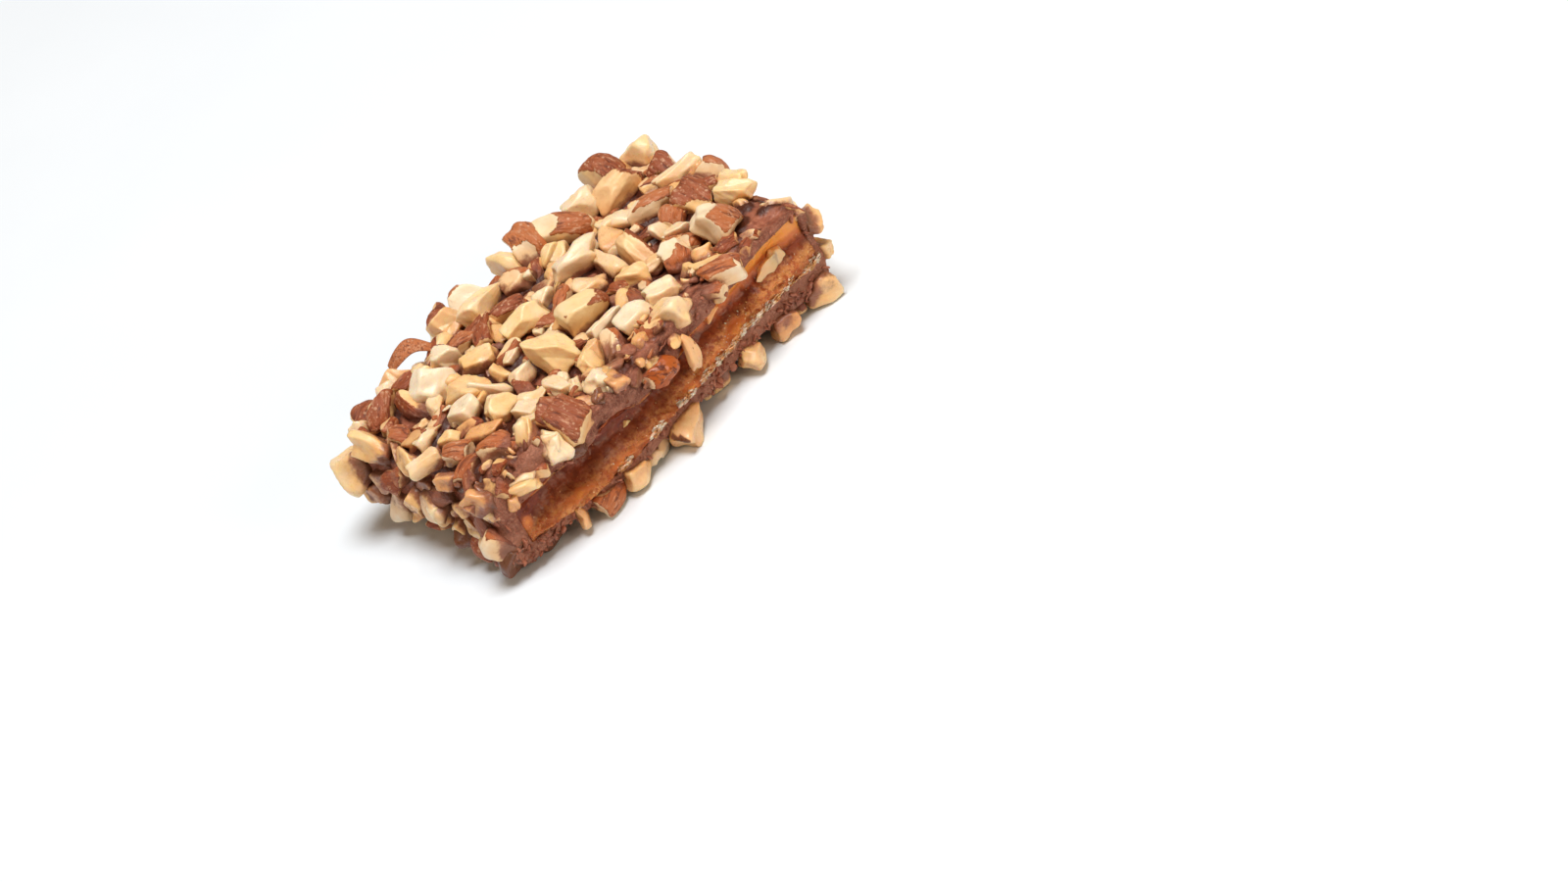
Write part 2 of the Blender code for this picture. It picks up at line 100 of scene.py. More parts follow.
# Toffee core
TOFFEE_NEAR_X = -22.9 * MM
TOFFEE_FAR_X = 23.0 * MM
TOFFEE_END_INSET = 1.2 * MM
TOFFEE_BACK_INSET = 1.5 * MM
TOFFEE_UNDERSIDE = 3.8 * MM
TOFFEE_FAR_RISE = 0.9 * MM
TOFFEE_TOPSIDE = 10.0 * MM
TOFFEE_NEAR_DROP = 0.7 * MM
ROOM_GAP = 0.03 * MM
ROOM_PAST_BREAK = 8 * MM

# Profile of the broken toffee, from its underside to its top: (share of its height, depth in millimetres).
# A rough ridge stands out along the bottom, with a smooth trough over it.
HOLLOW = (
    (0.0, 0.1),
    (0.08, -0.45),
    (0.22, -0.35),
    (0.36, 0.35),
    (0.52, 1.35),
    (0.68, 1.75),
    (0.85, 1.1),
    (0.96, 0.35),
    (1.0, 0.1),
)

# How far the toffee's top edge stands over TOFFEE_TOPSIDE at the break: (x, height) in millimetres
TOP_EDGE = (
    (-24, -2.6),
    (-13, -2.0),
    (-8, -0.7),
    (-5, -2.2),
    (1, -2.4),
    (5, -1.0),
    (13, -0.3),
    (16, 0.9),
    (24, 1.5),
)
TOP_EDGE_REACH = 2.0 * MM

# A thin lip where the ridge stands out most, and golden spots on the broken toffee: x, z, half length and
# half height in millimetres
LIP_X = -16.5 * MM
LIP_REACH = 3.2 * MM
LIP = 0.8
GOLD_SPOTS = (
    (10.3, 5.4, 2.0, 0.8),
    (6.4, 4.7, 1.4, 0.6),
    (21.0, 10.6, 2.2, 1.0),
    (-22.2, 5.2, 0.8, 0.7),
    (1.6, 4.6, 1.3, 0.4),
    (-10.0, 4.3, 1.6, 0.4),
    (-16.0, 4.4, 2.0, 0.4),
)

# Layers of bumps: each is (height in millimetres, how far apart, seed)
COAT_BUMPS = ((0.22, 2.4 * MM, 0.0), (0.07, 1.0 * MM, 1.0))
CRAG_LEDGES = ((0.75, 2.4 * MM, 2.0), (0.30, 0.9 * MM, 3.0))
TOFFEE_BUMPS = ((0.30, 3.4 * MM, 4.0), (0.10, 1.4 * MM, 5.0))
PLATE_EDGES = ((0.22, 0.5 * MM, 7.0),)
RIDGE_WANDER = ((0.07, 2.0 * MM, 9.0), (0.04, 0.7 * MM, 10.0))

# Relief of the chocolate: how far it climbs round an almond piece and how near to it, its lowest place,
# how far its crags stand out in millimetres, and the heights between which they grow
CLIMB = 0.45 * MM
CLIMB_REACH = 0.5 * MM
CLEARANCE = 0.25 * MM
CRAG = 0.52
CRAGS_LOW = 3.0 * MM
CRAGS_HIGH = 7.0 * MM

# Strips behind the break, in which the broken chocolate ends, and in which the rough chocolate ends. Then
# the heights between which the top begins.
BROKEN = (0.9 * MM, 0.3 * MM)
NEAR_BREAK = (6 * MM, 2 * MM)
TOP_BEGINS = (9.0 * MM, 10.8 * MM)

# Relief of the broken toffee: the shares of its height between which the ridge ends, how far the ridge's
# plates and the top edge's bumps stand out in millimetres, and the distances from the middle between which
# the hollow deepens
RIDGE_ENDS = (0.42, 0.22)
PLATE = 0.45
PLATE_STRETCH = (0.6, 1.0, 1.3)
PLATE_SPACING = 1.1 * MM
TOP_BUMP = 0.25
TOP_BUMP_SPACING = 1.6 * MM
HOLLOW_ENDS = (23.2 * MM, 18.0 * MM)

# Relief of an almond piece: broad and fine swells, as shares of its size, and the skin's thickness
BROAD_SWELL = 0.026
FINE_SWELL = 0.009
SKIN_THICK = 0.06 * MM

# Grids that the slab and the toffee are bent from: cuts along X, Y and Z
SLAB_CUTS = (159, 99, 31)
TOFFEE_CUTS = (229, 17, 37)
ROOM_CUTS = (115, 13, 1)

# Almond pieces: how far they stand out and reach in, and how thick they are. Of the looks, white, cream,
# toasted, tan and coated have no skin, and the others have it on the side named.
Almond = namedtuple("Almond", "centre axes half look seed")
PROUD = 0.22
SUNK = 0.7 * MM
THICKNESS = 0.42
BOTTOM_CENTRE = 1.15 * MM
SKIN_SIDES = {
    "skin top": (0.0, -0.25, 1.0),
    "skin front": (0.0, -1.0, 0.6),
    "amber front": (0.0, -1.0, 0.6),
    "skin right": (1.0, -0.2, 0.5),
    "skin left": (-1.0, -0.2, 0.4),
    "skin back": (0.2, 1.0, 0.5),
}

# Shape of an almond piece, as shares of its half sizes: the lean and reach of its knife cuts and chips, how
# crisp the edges between them are, from the softest piece to the crispest, the round skin side, and the
# lumps and scoops
CUT_LEAN = 0.28
CUT_REACH = (0.74, 0.96)
CHIPS = 3
CHIP_REACH = (0.82, 1.05)
CRISPNESS = (14.0, 46.0)
MOST_HOLLOW = 0.20
HOLLOW_SPREAD = 0.5
TAPER = 0.5
SKIN_FACING = 0.62
SKIN_CENTRE = 0.55
SKIN_RADIUS = 1.45
MOST_REACH = 1.25
LUMP = 0.03
SCOOPS = (0.0, 0.0, 0.14, 0.2)
SCOOP_SPREAD = 0.3

# Finer than the part's source: more chips, and notches between two planes that meet inside the piece
FINE_CHIPS = 3
FINE_CHIP_REACH = (0.88, 1.05)
NOTCHES = (0, 1, 1, 2)
NOTCH_REACH = (0.50, 0.72)
NOTCH_OPENING = (0.7, 1.3)
NOTCH_FACING = 0.2
LEAST_SLOPE = 0.02

# The almonds that stand out: x, depth behind the break, z, length and width in millimetres,
# then the turn of the long axis about Z and its rise, in degrees, and the look.
TOP_ALMONDS = (
    (-24.5, 21.5, 11.4, 6.5, 3.0, 105, 25, "toasted"),
    (-20.0, 24.5, 12.2, 5.4, 3.2, 40, 30, "skin front"),
    (-22.0, 19.0, 11.8, 3.6, 2.6, 125, 15, "skin top"),
    (-15.0, 28.2, 11.8, 4.2, 3.2, 115, 15, "toasted"),
    (-15.5, 20.5, 13.0, 5.6, 5.2, 5, 30, "white"),
    (-11.0, 23.5, 12.7, 3.8, 2.8, 115, 15, "white"),
    (-18.0, 20.5, 12.4, 5.6, 2.4, 90, 30, "skin left"),
    (-10.0, 18.5, 12.7, 5.6, 2.8, 145, 0, "cream"),
    (-6.0, 9.0, 13.0, 7.4, 4.4, 120, 30, "cream"),
    (-12.5, 12.5, 12.4, 6.2, 1.8, 135, 30, "white"),
    (-16.5, 12.5, 12.6, 4.4, 4.0, 140, 10, "white"),
    (-14.5, 8.5, 12.6, 4.6, 3.2, 0, 0, "cream"),
    (-13.5, 4.5, 12.4, 3.8, 2.8, 115, 15, "cream"),
    (-21.5, 8.5, 11.8, 4.4, 3.0, 130, 0, "skin top"),
    (-24.0, 12.0, 11.6, 5.2, 2.6, 155, 0, "cream"),
    (7.0, 29.6, 12.9, 6.4, 4.6, 80, 45, "skin top"),
    (11.0, 27.0, 12.8, 8.0, 3.6, 140, 15, "skin front"),
    (14.5, 28.5, 12.8, 5.4, 3.2, 160, 0, "cream"),
    (3.8, 30.2, 12.8, 4.8, 2.6, 100, 15, "cream"),
    (7.0, 20.0, 13.0, 7.6, 3.8, 170, 0, "cream"),
    (-2.3, 31.0, 12.8, 5.0, 3.0, 130, 10, "skin back"),
    (-2.5, 27.0, 12.8, 7.8, 2.8, 15, 0, "cream"),
    (-6.0, 29.5, 12.4, 4.2, 3.0, 15, 20, "toasted"),
    (-1.5, 23.0, 12.2, 5.0, 2.4, 160, 0, "skin top"),
    (-3.0, 18.0, 12.8, 7.0, 3.8, 170, 0, "cream"),
    (1.0, 16.0, 12.6, 5.6, 2.2, 15, 25, "skin top"),
    (0.5, 11.0, 12.9, 6.8, 4.8, 345, 15, "skin right"),
    (19.6, 30.8, 13.2, 5.2, 3.8, 100, 45, "skin top"),
    (24.5, 29.0, 12.6, 5.0, 3.4, 130, 0, "cream"),
    (24.0, 24.0, 12.2, 4.8, 2.6, 90, 30, "skin top"),
    (23.0, 20.0, 12.6, 6.2, 2.6, 165, 0, "cream"),
    (25.5, 16.5, 12.2, 5.0, 3.0, 110, 15, "skin right"),
    (23.0, 10.0, 12.2, 4.8, 3.2, 120, 15, "cream"),
    (17.5, 6.5, 12.8, 6.4, 5.2, 130, 30, "skin right"),
    (18.0, 26.0, 12.8, 7.2, 4.0, 340, 15, "skin right"),
    (17.5, 18.5, 12.6, 7.6, 3.0, 155, 0, "skin top"),
    (12.0, 8.0, 12.2, 5.0, 3.8, 50, 30, "skin front"),
    (11.0, 13.5, 12.6, 7.8, 2.8, 85, 35, "skin right"),
    (6.5, 4.0, 12.4, 6.0, 3.0, 165, 0, "cream"),
    (0.5, 7.5, 12.5, 5.8, 2.0, 175, 0, "white"),
    (-2.0, 3.0, 12.2, 4.8, 2.8, 50, 20, "skin right"),
    (-3.5, 5.0, 12.4, 3.8, 2.6, 25, 20, "toasted"),
)
EDGE_ALMONDS = (
    (-12.5, 1.5, 11.6, 6.4, 5.2, 105, 30, "skin top"),
    (-15.6, 0.3, 10.6, 4.2, 3.2, 40, 45, "white"),
    (-16.8, 2.4, 11.8, 5.4, 3.0, 25, 40, "cream"),
    (-19.2, 4.4, 11.8, 4.6, 4.4, 125, 0, "skin top"),
    (-22.4, 5.8, 11.2, 4.4, 2.8, 10, 0, "skin top"),
    (-20.8, 0.3, 9.6, 4.8, 2.6, 150, 0, "white"),
    (-24.6, 2.6, 9.6, 5.0, 2.6, 170, 0, "toasted"),
    (4.4, 1.6, 11.9, 5.8, 3.8, 140, 0, "cream"),
    (12.8, 1.8, 11.8, 6.2, 3.2, 130, 0, "skin front"),
    (18.0, 1.7, 11.6, 3.6, 1.4, 135, 0, "white"),
    (-1.9, 0.0, 9.4, 5.2, 3.4, 135, 0, "amber front"),
)
END_ALMONDS = (
    (-25.2, 27.0, 7.5, 6.6, 4.6, 90, 5, "cream"),
    (-25.0, 16.0, 5.9, 5.0, 3.4, 90, -60, "toasted"),
    (-24.8, 9.5, 8.4, 5.4, 2.4, 90, -15, "skin left"),
    (-24.8, 18.0, 8.6, 5.0, 2.6, 90, -25, "skin left"),
    (-24.4, 2.6, 6.6, 4.2, 2.6, 90, 60, "skin left"),
    (-25.0, 6.0, 4.9, 3.6, 2.2, 90, 40, "white"),
    (-24.8, 3.2, 3.0, 4.6, 2.4, 90, -5, "coated"),
    (-26.0, 0.9, 2.0, 4.6, 2.6, 90, -75, "coated"),
    (25.0, 1.0, 8.9, 3.4, 2.8, 90, 70, "cream"),
)
UNDER_ALMONDS = (
    (21.4, 0.4, 1.15, 5.2, 3.0, 160, 0, "cream"),
    (15.8, 0.6, 1.15, 4.6, 3.2, 90, 0, "toasted"),
    (5.8, 1.4, 1.15, 4.0, 2.6, 170, 0, "cream"),
    (0.3, 1.6, 1.15, 6.4, 3.2, 30, 0, "toasted"),
    (-6.7, 2.2, 1.15, 5.6, 2.0, 175, 0, "toasted"),
    (-20.4, 0.8, 1.15, 3.8, 2.2, 10, 0, "coated"),
    (-23.6, 1.2, 1.15, 4.8, 3.0, 90, -30, "coated"),
    (0.0, 15.2, 1.15, 7.0, 5.0, 20, 0, "skin top"),
)

# Smaller almond pieces between them, which the part's source leaves out
SMALL_ALMONDS = (
    (-12.6, 0.6, 11.2, 6.6, 5.8, 105, 30, "skin front"),
    (-18.8, 0.6, 11.2, 3.0, 2.0, 160, 20, "cream"),
    (-20.8, -0.9, 9.3, 4.9, 2.6, 150, 5, "cream"),
    (-17.2, 1.4, 11.9, 4.6, 2.4, 40, 50, "cream"),
    (-1.7, -1.2, 9.2, 6.4, 3.0, 103, -4, "amber front"),
    (12.2, 0.4, 11.6, 5.6, 3.4, 150, 5, "skin top"),
    (9.2, -0.2, 11.2, 4.4, 2.0, 130, 0, "skin top"),
    (3.4, -1.9, 8.3, 4.6, 1.7, 60, 64, "tan"),
    (2.2, 1.2, 11.8, 3.4, 2.4, 20, 10, "skin left"),
    (-6.4, -1.2, 9.9, 3.6, 2.0, 20, 10, "cream"),
    (-24.7, 1.7, 9.7, 4.4, 3.2, 120, 40, "toasted"),
    (-25.0, 2.6, 6.2, 5.2, 2.8, 90, 70, "skin left"),
    (-25.4, 8.4, 3.2, 3.2, 2.4, 90, 30, "coated"),
    (-25.4, 5.2, 2.6, 4.0, 2.4, 90, 60, "skin left"),
    (-25.2, 11.4, 7.0, 4.6, 3.6, 90, 20, "skin back"),
    (-25.2, 19.0, 8.0, 3.6, 2.8, 90, -20, "skin left"),
    (-25.6, 1.6, 2.0, 4.0, 3.2, 90, -60, "skin left"),
    (-1.3, -2.1, 1.6, 5.8, 3.6, 35, 15, "toasted"),
    (-13.4, -1.6, 1.4, 4.8, 3.0, 25, 5, "skin front"),
    (-16.7, -1.2, 0.9, 3.0, 1.5, 60, -20, "toasted"),
    (-9.1, -2.2, 1.5, 4.2, 2.6, 20, 0, "toasted"),
    (10.2, -0.6, 1.4, 4.0, 2.6, 30, 0, "toasted"),
    (-23.0, 0.6, 10.6, 3.4, 2.2, 100, 15, "skin front"),
    (-15.6, -1.8, 10.7, 3.6, 2.8, 60, 50, "white"),
    (-9.6, -0.6, 11.2, 3.2, 2.0, 150, 20, "toasted"),
    (-4.6, 0.6, 11.6, 3.4, 2.2, 170, 10, "cream"),
    (6.6, 0.4, 11.4, 3.0, 2.0, 60, 10, "skin front"),
    (16.4, 0.8, 11.8, 3.0, 1.8, 20, 10, "skin top"),
    (-22.9, 26.7, 11.4, 2.6, 2.1, 150, 0, "cream"),
    (-19.8, 29.1, 10.8, 4.3, 2.3, 20, 10, "skin right"),
    (-16.5, 28.1, 12.0, 2.9, 1.7, 170, 0, "white"),
    (-15.3, 25.7, 12.2, 3.5, 2.1, 5, 0, "skin top"),
    (-10.0, 14.4, 12.0, 4.9, 1.9, 75, 10, "toasted"),
    (-9.2, 11.3, 12.2, 3.5, 2.3, 5, 20, "white"),
    (-7.2, 15.7, 12.0, 2.9, 1.7, 20, 10, "cream"),
    (-20.8, 14.8, 12.0, 4.6, 2.1, 10, 0, "white"),
    (-20.3, 11.4, 12.2, 3.2, 1.5, 140, 10, "cream"),
    (-24.8, 7.4, 11.0, 4.2, 2.3, 110, 0, "toasted"),
    (-22.5, 2.4, 10.8, 2.0, 1.3, 170, 0, "cream"),
    (15.6, 32.3, 11.6, 2.0, 1.5, 175, 0, "toasted"),
    (2.6, 26.1, 12.4, 4.5, 2.3, 135, 0, "white"),
    (7.1, 25.4, 12.6, 4.0, 1.9, 10, 20, "cream"),
    (-6.1, 33.5, 12.0, 3.5, 1.5, 160, 0, "skin top"),
    (-6.8, 33.2, 11.2, 3.1, 1.3, 140, 0, "white"),
    (1.0, 19.1, 12.6, 2.9, 2.3, 10, 20, "cream"),
    (-5.5, 22.9, 12.2, 5.4, 2.1, 45, 0, "skin top"),
    (-7.7, 24.7, 11.8, 3.7, 2.8, 175, 0, "skin top"),
    (24.8, 12.1, 12.6, 5.4, 2.1, 85, 0, "cream"),
    (24.8, 17.5, 12.2, 3.2, 1.9, 160, 0, "toasted"),
    (22.3, 13.8, 12.6, 3.6, 2.3, 340, 10, "skin top"),
    (20.2, 13.0, 12.2, 1.9, 1.5, 155, 0, "white"),
    (14.2, 15.6, 12.2, 3.6, 1.5, 165, 0, "skin top"),
    (13.6, 22.5, 12.0, 3.1, 2.5, 175, 0, "cream"),
    (15.6, 12.1, 12.2, 4.0, 1.7, 150, 0, "white"),
    (8.2, 16.1, 12.6, 7.0, 2.3, 85, 10, "cream"),
    (5.0, 7.3, 12.2, 4.9, 1.9, 85, 0, "skin top"),
    (1.6, 3.6, 12.0, 3.7, 2.1, 130, 0, "cream"),
    (-5.8, 1.0, 11.8, 4.2, 1.9, 95, 0, "toasted"),
    (-7.9, 5.3, 11.8, 3.1, 1.5, 50, 20, "white"),
    (-7.6, 1.6, 11.4, 2.6, 1.3, 50, 20, "white"),
    (-9.6, 27.2, 11.6, 3.6, 2.6, 60, 10, "skin top"),
    (-6.1, -1.7, 11.7, 3.2, 2.2, 100, 15, "toasted"),
    (-8.2, -1.2, 11.6, 2.4, 1.8, 60, 40, "cream"),
    (-6.4, 1.5, 12.0, 3.6, 2.2, 110, 5, "cream"),
    (-8.3, 2.7, 12.2, 2.8, 1.7, 50, 40, "white"),
    (-4.0, -1.9, 10.6, 2.6, 1.8, 20, 10, "skin top"),
    (-2.2, 1.0, 11.6, 3.0, 2.2, 150, 15, "skin top"),
    (0.2, 0.9, 11.8, 2.8, 1.8, 20, 20, "toasted"),
    (2.6, -0.9, 10.4, 2.6, 1.6, 40, 20, "skin left"),
    (10.4, -0.4, 10.9, 3.2, 1.8, 45, 20, "skin top"),
    (-13.6, -1.8, 9.2, 3.2, 2.0, 40, 20, "coated"),
    (-18.4, -1.0, 9.4, 3.0, 2.0, 150, 0, "skin top"),
    (-22.6, -0.4, 8.9, 2.8, 1.8, 60, 40, "toasted"),
    (-1.6, -0.3, 10.5, 4.8, 2.0, 103, 0, "toasted"),
)

# Bits of almond in the broken toffee: x, depth behind the break, z, length and width in millimetres, and
# the rise in degrees
BURIED_ALMONDS = (
    (17.6, 1.25, 7.7, 3.8, 1.7, 14),
    (19.2, 1.25, 8.1, 2.2, 2.6, 70),
    (9.1, 1.35, 8.3, 2.4, 0.9, 20),
    (-6.8, 1.75, 6.2, 1.6, 0.8, -15),
)
SUGAR_GRAINS = 1000
SUGAR_STRETCH = (3.4, 1.0, 1.0)
SUGAR_SIZES = (0.12, 0.30)
RIDGE_GRAINS = 120
RIDGE_GRAIN_SIZES = (0.12, 0.24)
CHOCOLATE_CRUMBS = 320
# The crumbs take this crag value, which paints them a little paler: a painted highlight.
CRUMB_CRAG_SHADING = 0.7
ALMOND_CRUMBS = 150

# Almonds strewn over the rest, largest first: length in millimetres, and how many at most on each side.
# The first list is the part's own. The second fills in between.
STREWN_SIDES = ("top", "under", "back", "near", "far")
STREWN = (
    (5.8, (5, 9, 7, 3, 6)),
    (5.0, (8, 9, 6, 3, 5)),
    (4.3, (12, 6, 5, 4, 3)),
    (3.7, (8, 0, 1, 1, 1)),
)
FILLING = (
    (3.9, (16, 22, 8, 1, 5)),
    (3.2, (20, 26, 10, 2, 7)),
    (2.5, (20, 30, 12, 4, 9)),
    (1.8, (24, 30, 12, 6, 10)),
)
LOW_BITS = 3.0 * MM
CANDIDATES = 24
SPACING = 0.72
FILLING_SPACING = 0.56
BARE_DEPTH = 1.3
FILLING_BARE_DEPTH = 0.5
LOOKS = ("white", "cream", "cream", "toasted", "skin top", "skin right", "skin left", "skin front")
FILLING_LOOKS = (
    "white",
    "cream",
    "toasted",
    "skin top",
    "skin top",
    "skin right",
    "skin left",
    "skin front",
)
BARE_PATCHES = ((21.5, 3.2, 4.0), (9.0, 6.5, 2.4))


# ---- Shapes that the part's source has too ----


def line_between(x, places, scale=MM):
    """Reads a line of (x, height) places at each x. Their heights are in millimetres, x in the scale."""
    return np.interp(x, [p[0] * scale for p in places], [p[1] * MM for p in places])


def smooth_step(x, start, end):
    share = np.clip((x - start) / (end - start), 0.0, 1.0)
    return share * share * (3.0 - 2.0 * share)


def hill(distance, reach):
    """1 at no distance, and falling off to 0 past the reach."""
    return np.exp(-((distance / reach) ** 2))


def ripple(x, y, phase):
    """Low waves in the chocolate, where it flowed and set."""
    return RIPPLE * (np.sin(x / RIPPLE_X + phase) + np.sin(y / RIPPLE_Y + 1.7 * phase))


def break_line(x):
    """Y of the broken face."""
    return BREAK_Y - BULGE * hill(x - BULGE_X, BULGE_REACH)


def behind_break(places):
    """How far each place lies behind the broken face."""
    return places[:, 1] - break_line(places[:, 0])


def back_line(x):
    """Y of the back."""
    share = np.clip(x / LENGTH + 0.5, 0.0, 1.0)
    return BACK_NEAR_Y + (BACK_FAR_Y - BACK_NEAR_Y) * share + BACK_BELLY * np.sin(math.pi * share)


def in_corner_lump(places):
    return hill(np.linalg.norm(places - CORNER_LUMP, axis=1), CORNER_LUMP_REACH)


def slab_places(points):
    """Turns (x, depth as a share of the width, height as a share of the thickness) into places on the slab.

    Its corners are rounded, except along the break."""
    width = BACK_FAR_Y - BREAK_Y
    sides = np.array([LENGTH, width, TOPSIDE - UNDERSIDE])
    block = points * sides
    low = np.array([-LENGTH / 2 + EDGE_RADIUS, 0.0, EDGE_RADIUS])
    high = np.array([LENGTH / 2, width, sides[2]]) - EDGE_RADIUS
    inner = np.clip(block, low, high)
    out = block - inner
    reach = np.maximum(np.linalg.norm(out, axis=1), 1e-9)
    block = inner + out * np.minimum(1.0, EDGE_RADIUS / reach)[:, None]
    x, depth, height = block.T
    front = break_line(x)
    y = front + depth / width * (back_line(x) - front)
    x = x + ripple(y, height, 2.0) * np.abs(points[:, 0]) * 2
    y = y + ripple(x, height, 1.0) * points[:, 1]
    share = height / sides[2]
    z = UNDERSIDE + height + ripple(x, y, 0.5) * share + ripple(x, y, 4.0) * (1 - share)
    places = np.stack([x, y, z], axis=1)
    return places + in_corner_lump(places)[:, None] * CORNER_LUMP_MOVE


def toffee_top(x, depth):
    edge = line_between(x, TOP_EDGE)
    return TOFFEE_TOPSIDE + edge * np.exp(-np.maximum(depth, 0.0) / TOP_EDGE_REACH)


def toffee_underside(x):
    rise = TOFFEE_FAR_RISE * smooth_step(x, 2 * MM, 20 * MM)
    return TOFFEE_UNDERSIDE + rise - TOFFEE_NEAR_DROP * smooth_step(x, -3 * MM, -12 * MM)


def unit(vector):
    vector = np.asarray(vector, float)
    return vector / np.linalg.norm(vector)


def axes_of(long, wide):
    """The three axes of an almond piece."""
    return np.stack([long, wide, np.cross(long, wide)])


def random_vector(rng):
    return [rng.gauss(0, 1) for _ in range(3)]


def off_slab(place):
    """The way out of the slab at a place on or near it, and how far off its surface the place lies."""
    x, y, z = place
    inner = np.array(
        [
            np.clip(x, EDGE_RADIUS - LENGTH / 2, LENGTH / 2 - EDGE_RADIUS),
            min(y, back_line(x) - EDGE_RADIUS),
            np.clip(z, UNDERSIDE + EDGE_RADIUS, TOPSIDE - EDGE_RADIUS),
        ]
    )
    away = np.asarray(place) - inner
    distance = max(np.linalg.norm(away), 0.001 * MM)
    return away / distance, distance - EDGE_RADIUS


def almond_from(centre, long, wide, axis, look, seed):
    """An almond piece along an axis. One that stands off the chocolate is made to reach into it."""
    out, lift = off_slab(centre)
    wide_way = np.cross(out, axis)
    if np.linalg.norm(wide_way) < 0.2:
        wide_way = np.cross((0.3, 0.2, 1.0), axis)
    wide_way = unit(wide_way)
    thick = THICKNESS * wide
    missing = max(0.0, lift + SUNK - thick) / 2
    half = np.array([long / 2, wide / 2, thick + missing])
    return Almond(np.array(centre) - out * missing, axes_of(axis, wide_way), half, look, seed)


def placed_almonds(rows, first_seed):
    """Almonds placed as listed."""
    made = []
    for row in rows:
        x, depth, z, long, wide = (value * MM for value in row[:5])
        turn, rise = math.radians(row[5]), math.radians(row[6])
        axis = unit((math.cos(turn) * math.cos(rise), math.sin(turn) * math.cos(rise), math.sin(rise)))
        y = BREAK_Y + depth if row not in EDGE_ALMONDS else break_line(x) + depth
        made.append(almond_from((x, y, z), long, wide, axis, row[7], first_seed + len(made)))
    return made


def random_spot(rng, side):
    """A place on one side of the slab, as shares of it."""
    a, b = rng.random(), rng.random()
    spots = {
        "top": (a - 0.5, b, 1.0),
        "under": (a - 0.5, b, 0.0),
        "back": (a - 0.5, 1.0, b),
        "near": (-0.5, a, b),
        "far": (0.5, a, b),
    }
    return np.array([spots[side]])


def is_bare(x, y, side, bare_depth):
    """True where the chocolate shows without almonds, or where an almond would hang over the break."""
    depth = (y - break_line(x)) / MM
    if depth < bare_depth:
        return True
    near = [math.hypot(x / MM - px, depth - py) < radius for px, py, radius in BARE_PATCHES]
    return side == "top" and any(near)


def candidate(rng, long, side, looks, bare_depth):
    """A strewn almond somewhere on one side, or None where none should lie."""
    wide = long * rng.uniform(0.45, 0.8)
    place = slab_places(random_spot(rng, side))[0]
    turn, rise = rng.uniform(0, math.pi), rng.gauss(0.0, 0.35)
    look = rng.choice(looks)
    if is_bare(place[0], place[1], side, bare_depth):
        return None
    out, _ = off_slab(place)
    first = unit(np.cross(out, (0.31, 0.85, 0.42)))
    flat = math.cos(turn) * first + math.sin(turn) * np.cross(out, first)
    centre = place + out * PROUD * wide
    if side == "under":
        rise = 0.0
        centre[2] = BOTTOM_CENTRE
    return centre, long, wide, unit(flat + math.tan(rise) * out), look


def room_around(one, centres, sizes):
    """How far a strewn almond lies from its nearest neighbour, as a share of their sizes."""
    gaps = np.linalg.norm(centres - one[0], axis=1) / ((one[1] + one[2]) / 4 + sizes)
    return gaps.min()


def strewn_almonds(made, lists, looks, spacing, bare_depth, rng, first_seed):
    """Adds almonds one by one, each in the roomiest of a few random places."""
    strewn = list(made)
    for long_mm, counts in lists:
        for side, count in zip(STREWN_SIDES, counts):
            for _ in range(count):
                long = long_mm * MM * rng.uniform(0.88, 1.12)
                centres = np.array([other.centre for other in strewn])
                sizes = np.array([(other.half[0] + other.half[1]) / 2 for other in strewn])
                found = [candidate(rng, long, side, looks, bare_depth) for _ in range(CANDIDATES)]
                rooms = [(room_around(one, centres, sizes), one) for one in found if one is not None]
                room, best = max(rooms, key=lambda pair: pair[0])
                if room > spacing:
                    strewn.append(almond_from(*best, first_seed + len(strewn)))
    return strewn


def knife_cuts(rng):
    """Planes that an almond piece was chopped along: a normal and a distance each."""
    taper = rng.uniform(0.0, TAPER)
    cuts = []
    for axis in range(3):
        for sign in (-1.0, 1.0):
            normal = np.array([rng.uniform(-CUT_LEAN, CUT_LEAN) for _ in range(3)])
            normal[axis] = sign
            if axis:
                normal[0] += taper
            cuts.append((unit(normal), rng.uniform(*CUT_REACH)))
    return cuts


def chips(count, reach, rng):
    """Planes that chip corners off an almond piece."""
    return [(unit(random_vector(rng)), rng.uniform(*reach)) for _ in range(count)]


def notched(reach, ways, rng, skin, crispness):
    """Takes V-shaped notches out of an almond piece, away from its skin."""
    for _ in range(rng.choice(NOTCHES)):
        first = unit(random_vector(rng))
        aside = unit(np.cross(first, random_vector(rng)))
        second = unit(first + rng.uniform(*NOTCH_OPENING) * aside)
        planes = [(first, rng.uniform(*NOTCH_REACH)), (second, rng.uniform(*NOTCH_REACH))]
        if skin is None or unit(first + second) @ skin < NOTCH_FACING:
            sides = [distance / np.maximum(ways @ normal, LEAST_SLOPE) for normal, distance in planes]
            reach = softly_least([reach, np.maximum(*sides)], crispness)
    return reach


def hollow_cut(ways, normal, distance):
    """Reach to a cut, which is a little hollow, as almonds break like wax. How much depends on the cut."""
    hollow = MOST_HOLLOW * (0.5 + 0.5 * math.sin(40.0 * float(normal[0] + 2.0 * normal[1])))
    dish = hollow * np.exp(-np.sum((ways - normal) ** 2, axis=1) / HOLLOW_SPREAD)
    return distance / np.maximum(ways @ normal, LEAST_SLOPE) * (1.0 - dish)


def softly_least(reaches, crispness):
    """The least of several reaches, rounded off where two of them are nearly equal."""
    return np.sum([reach**-crispness for reach in reaches], axis=0) ** (-1 / crispness)


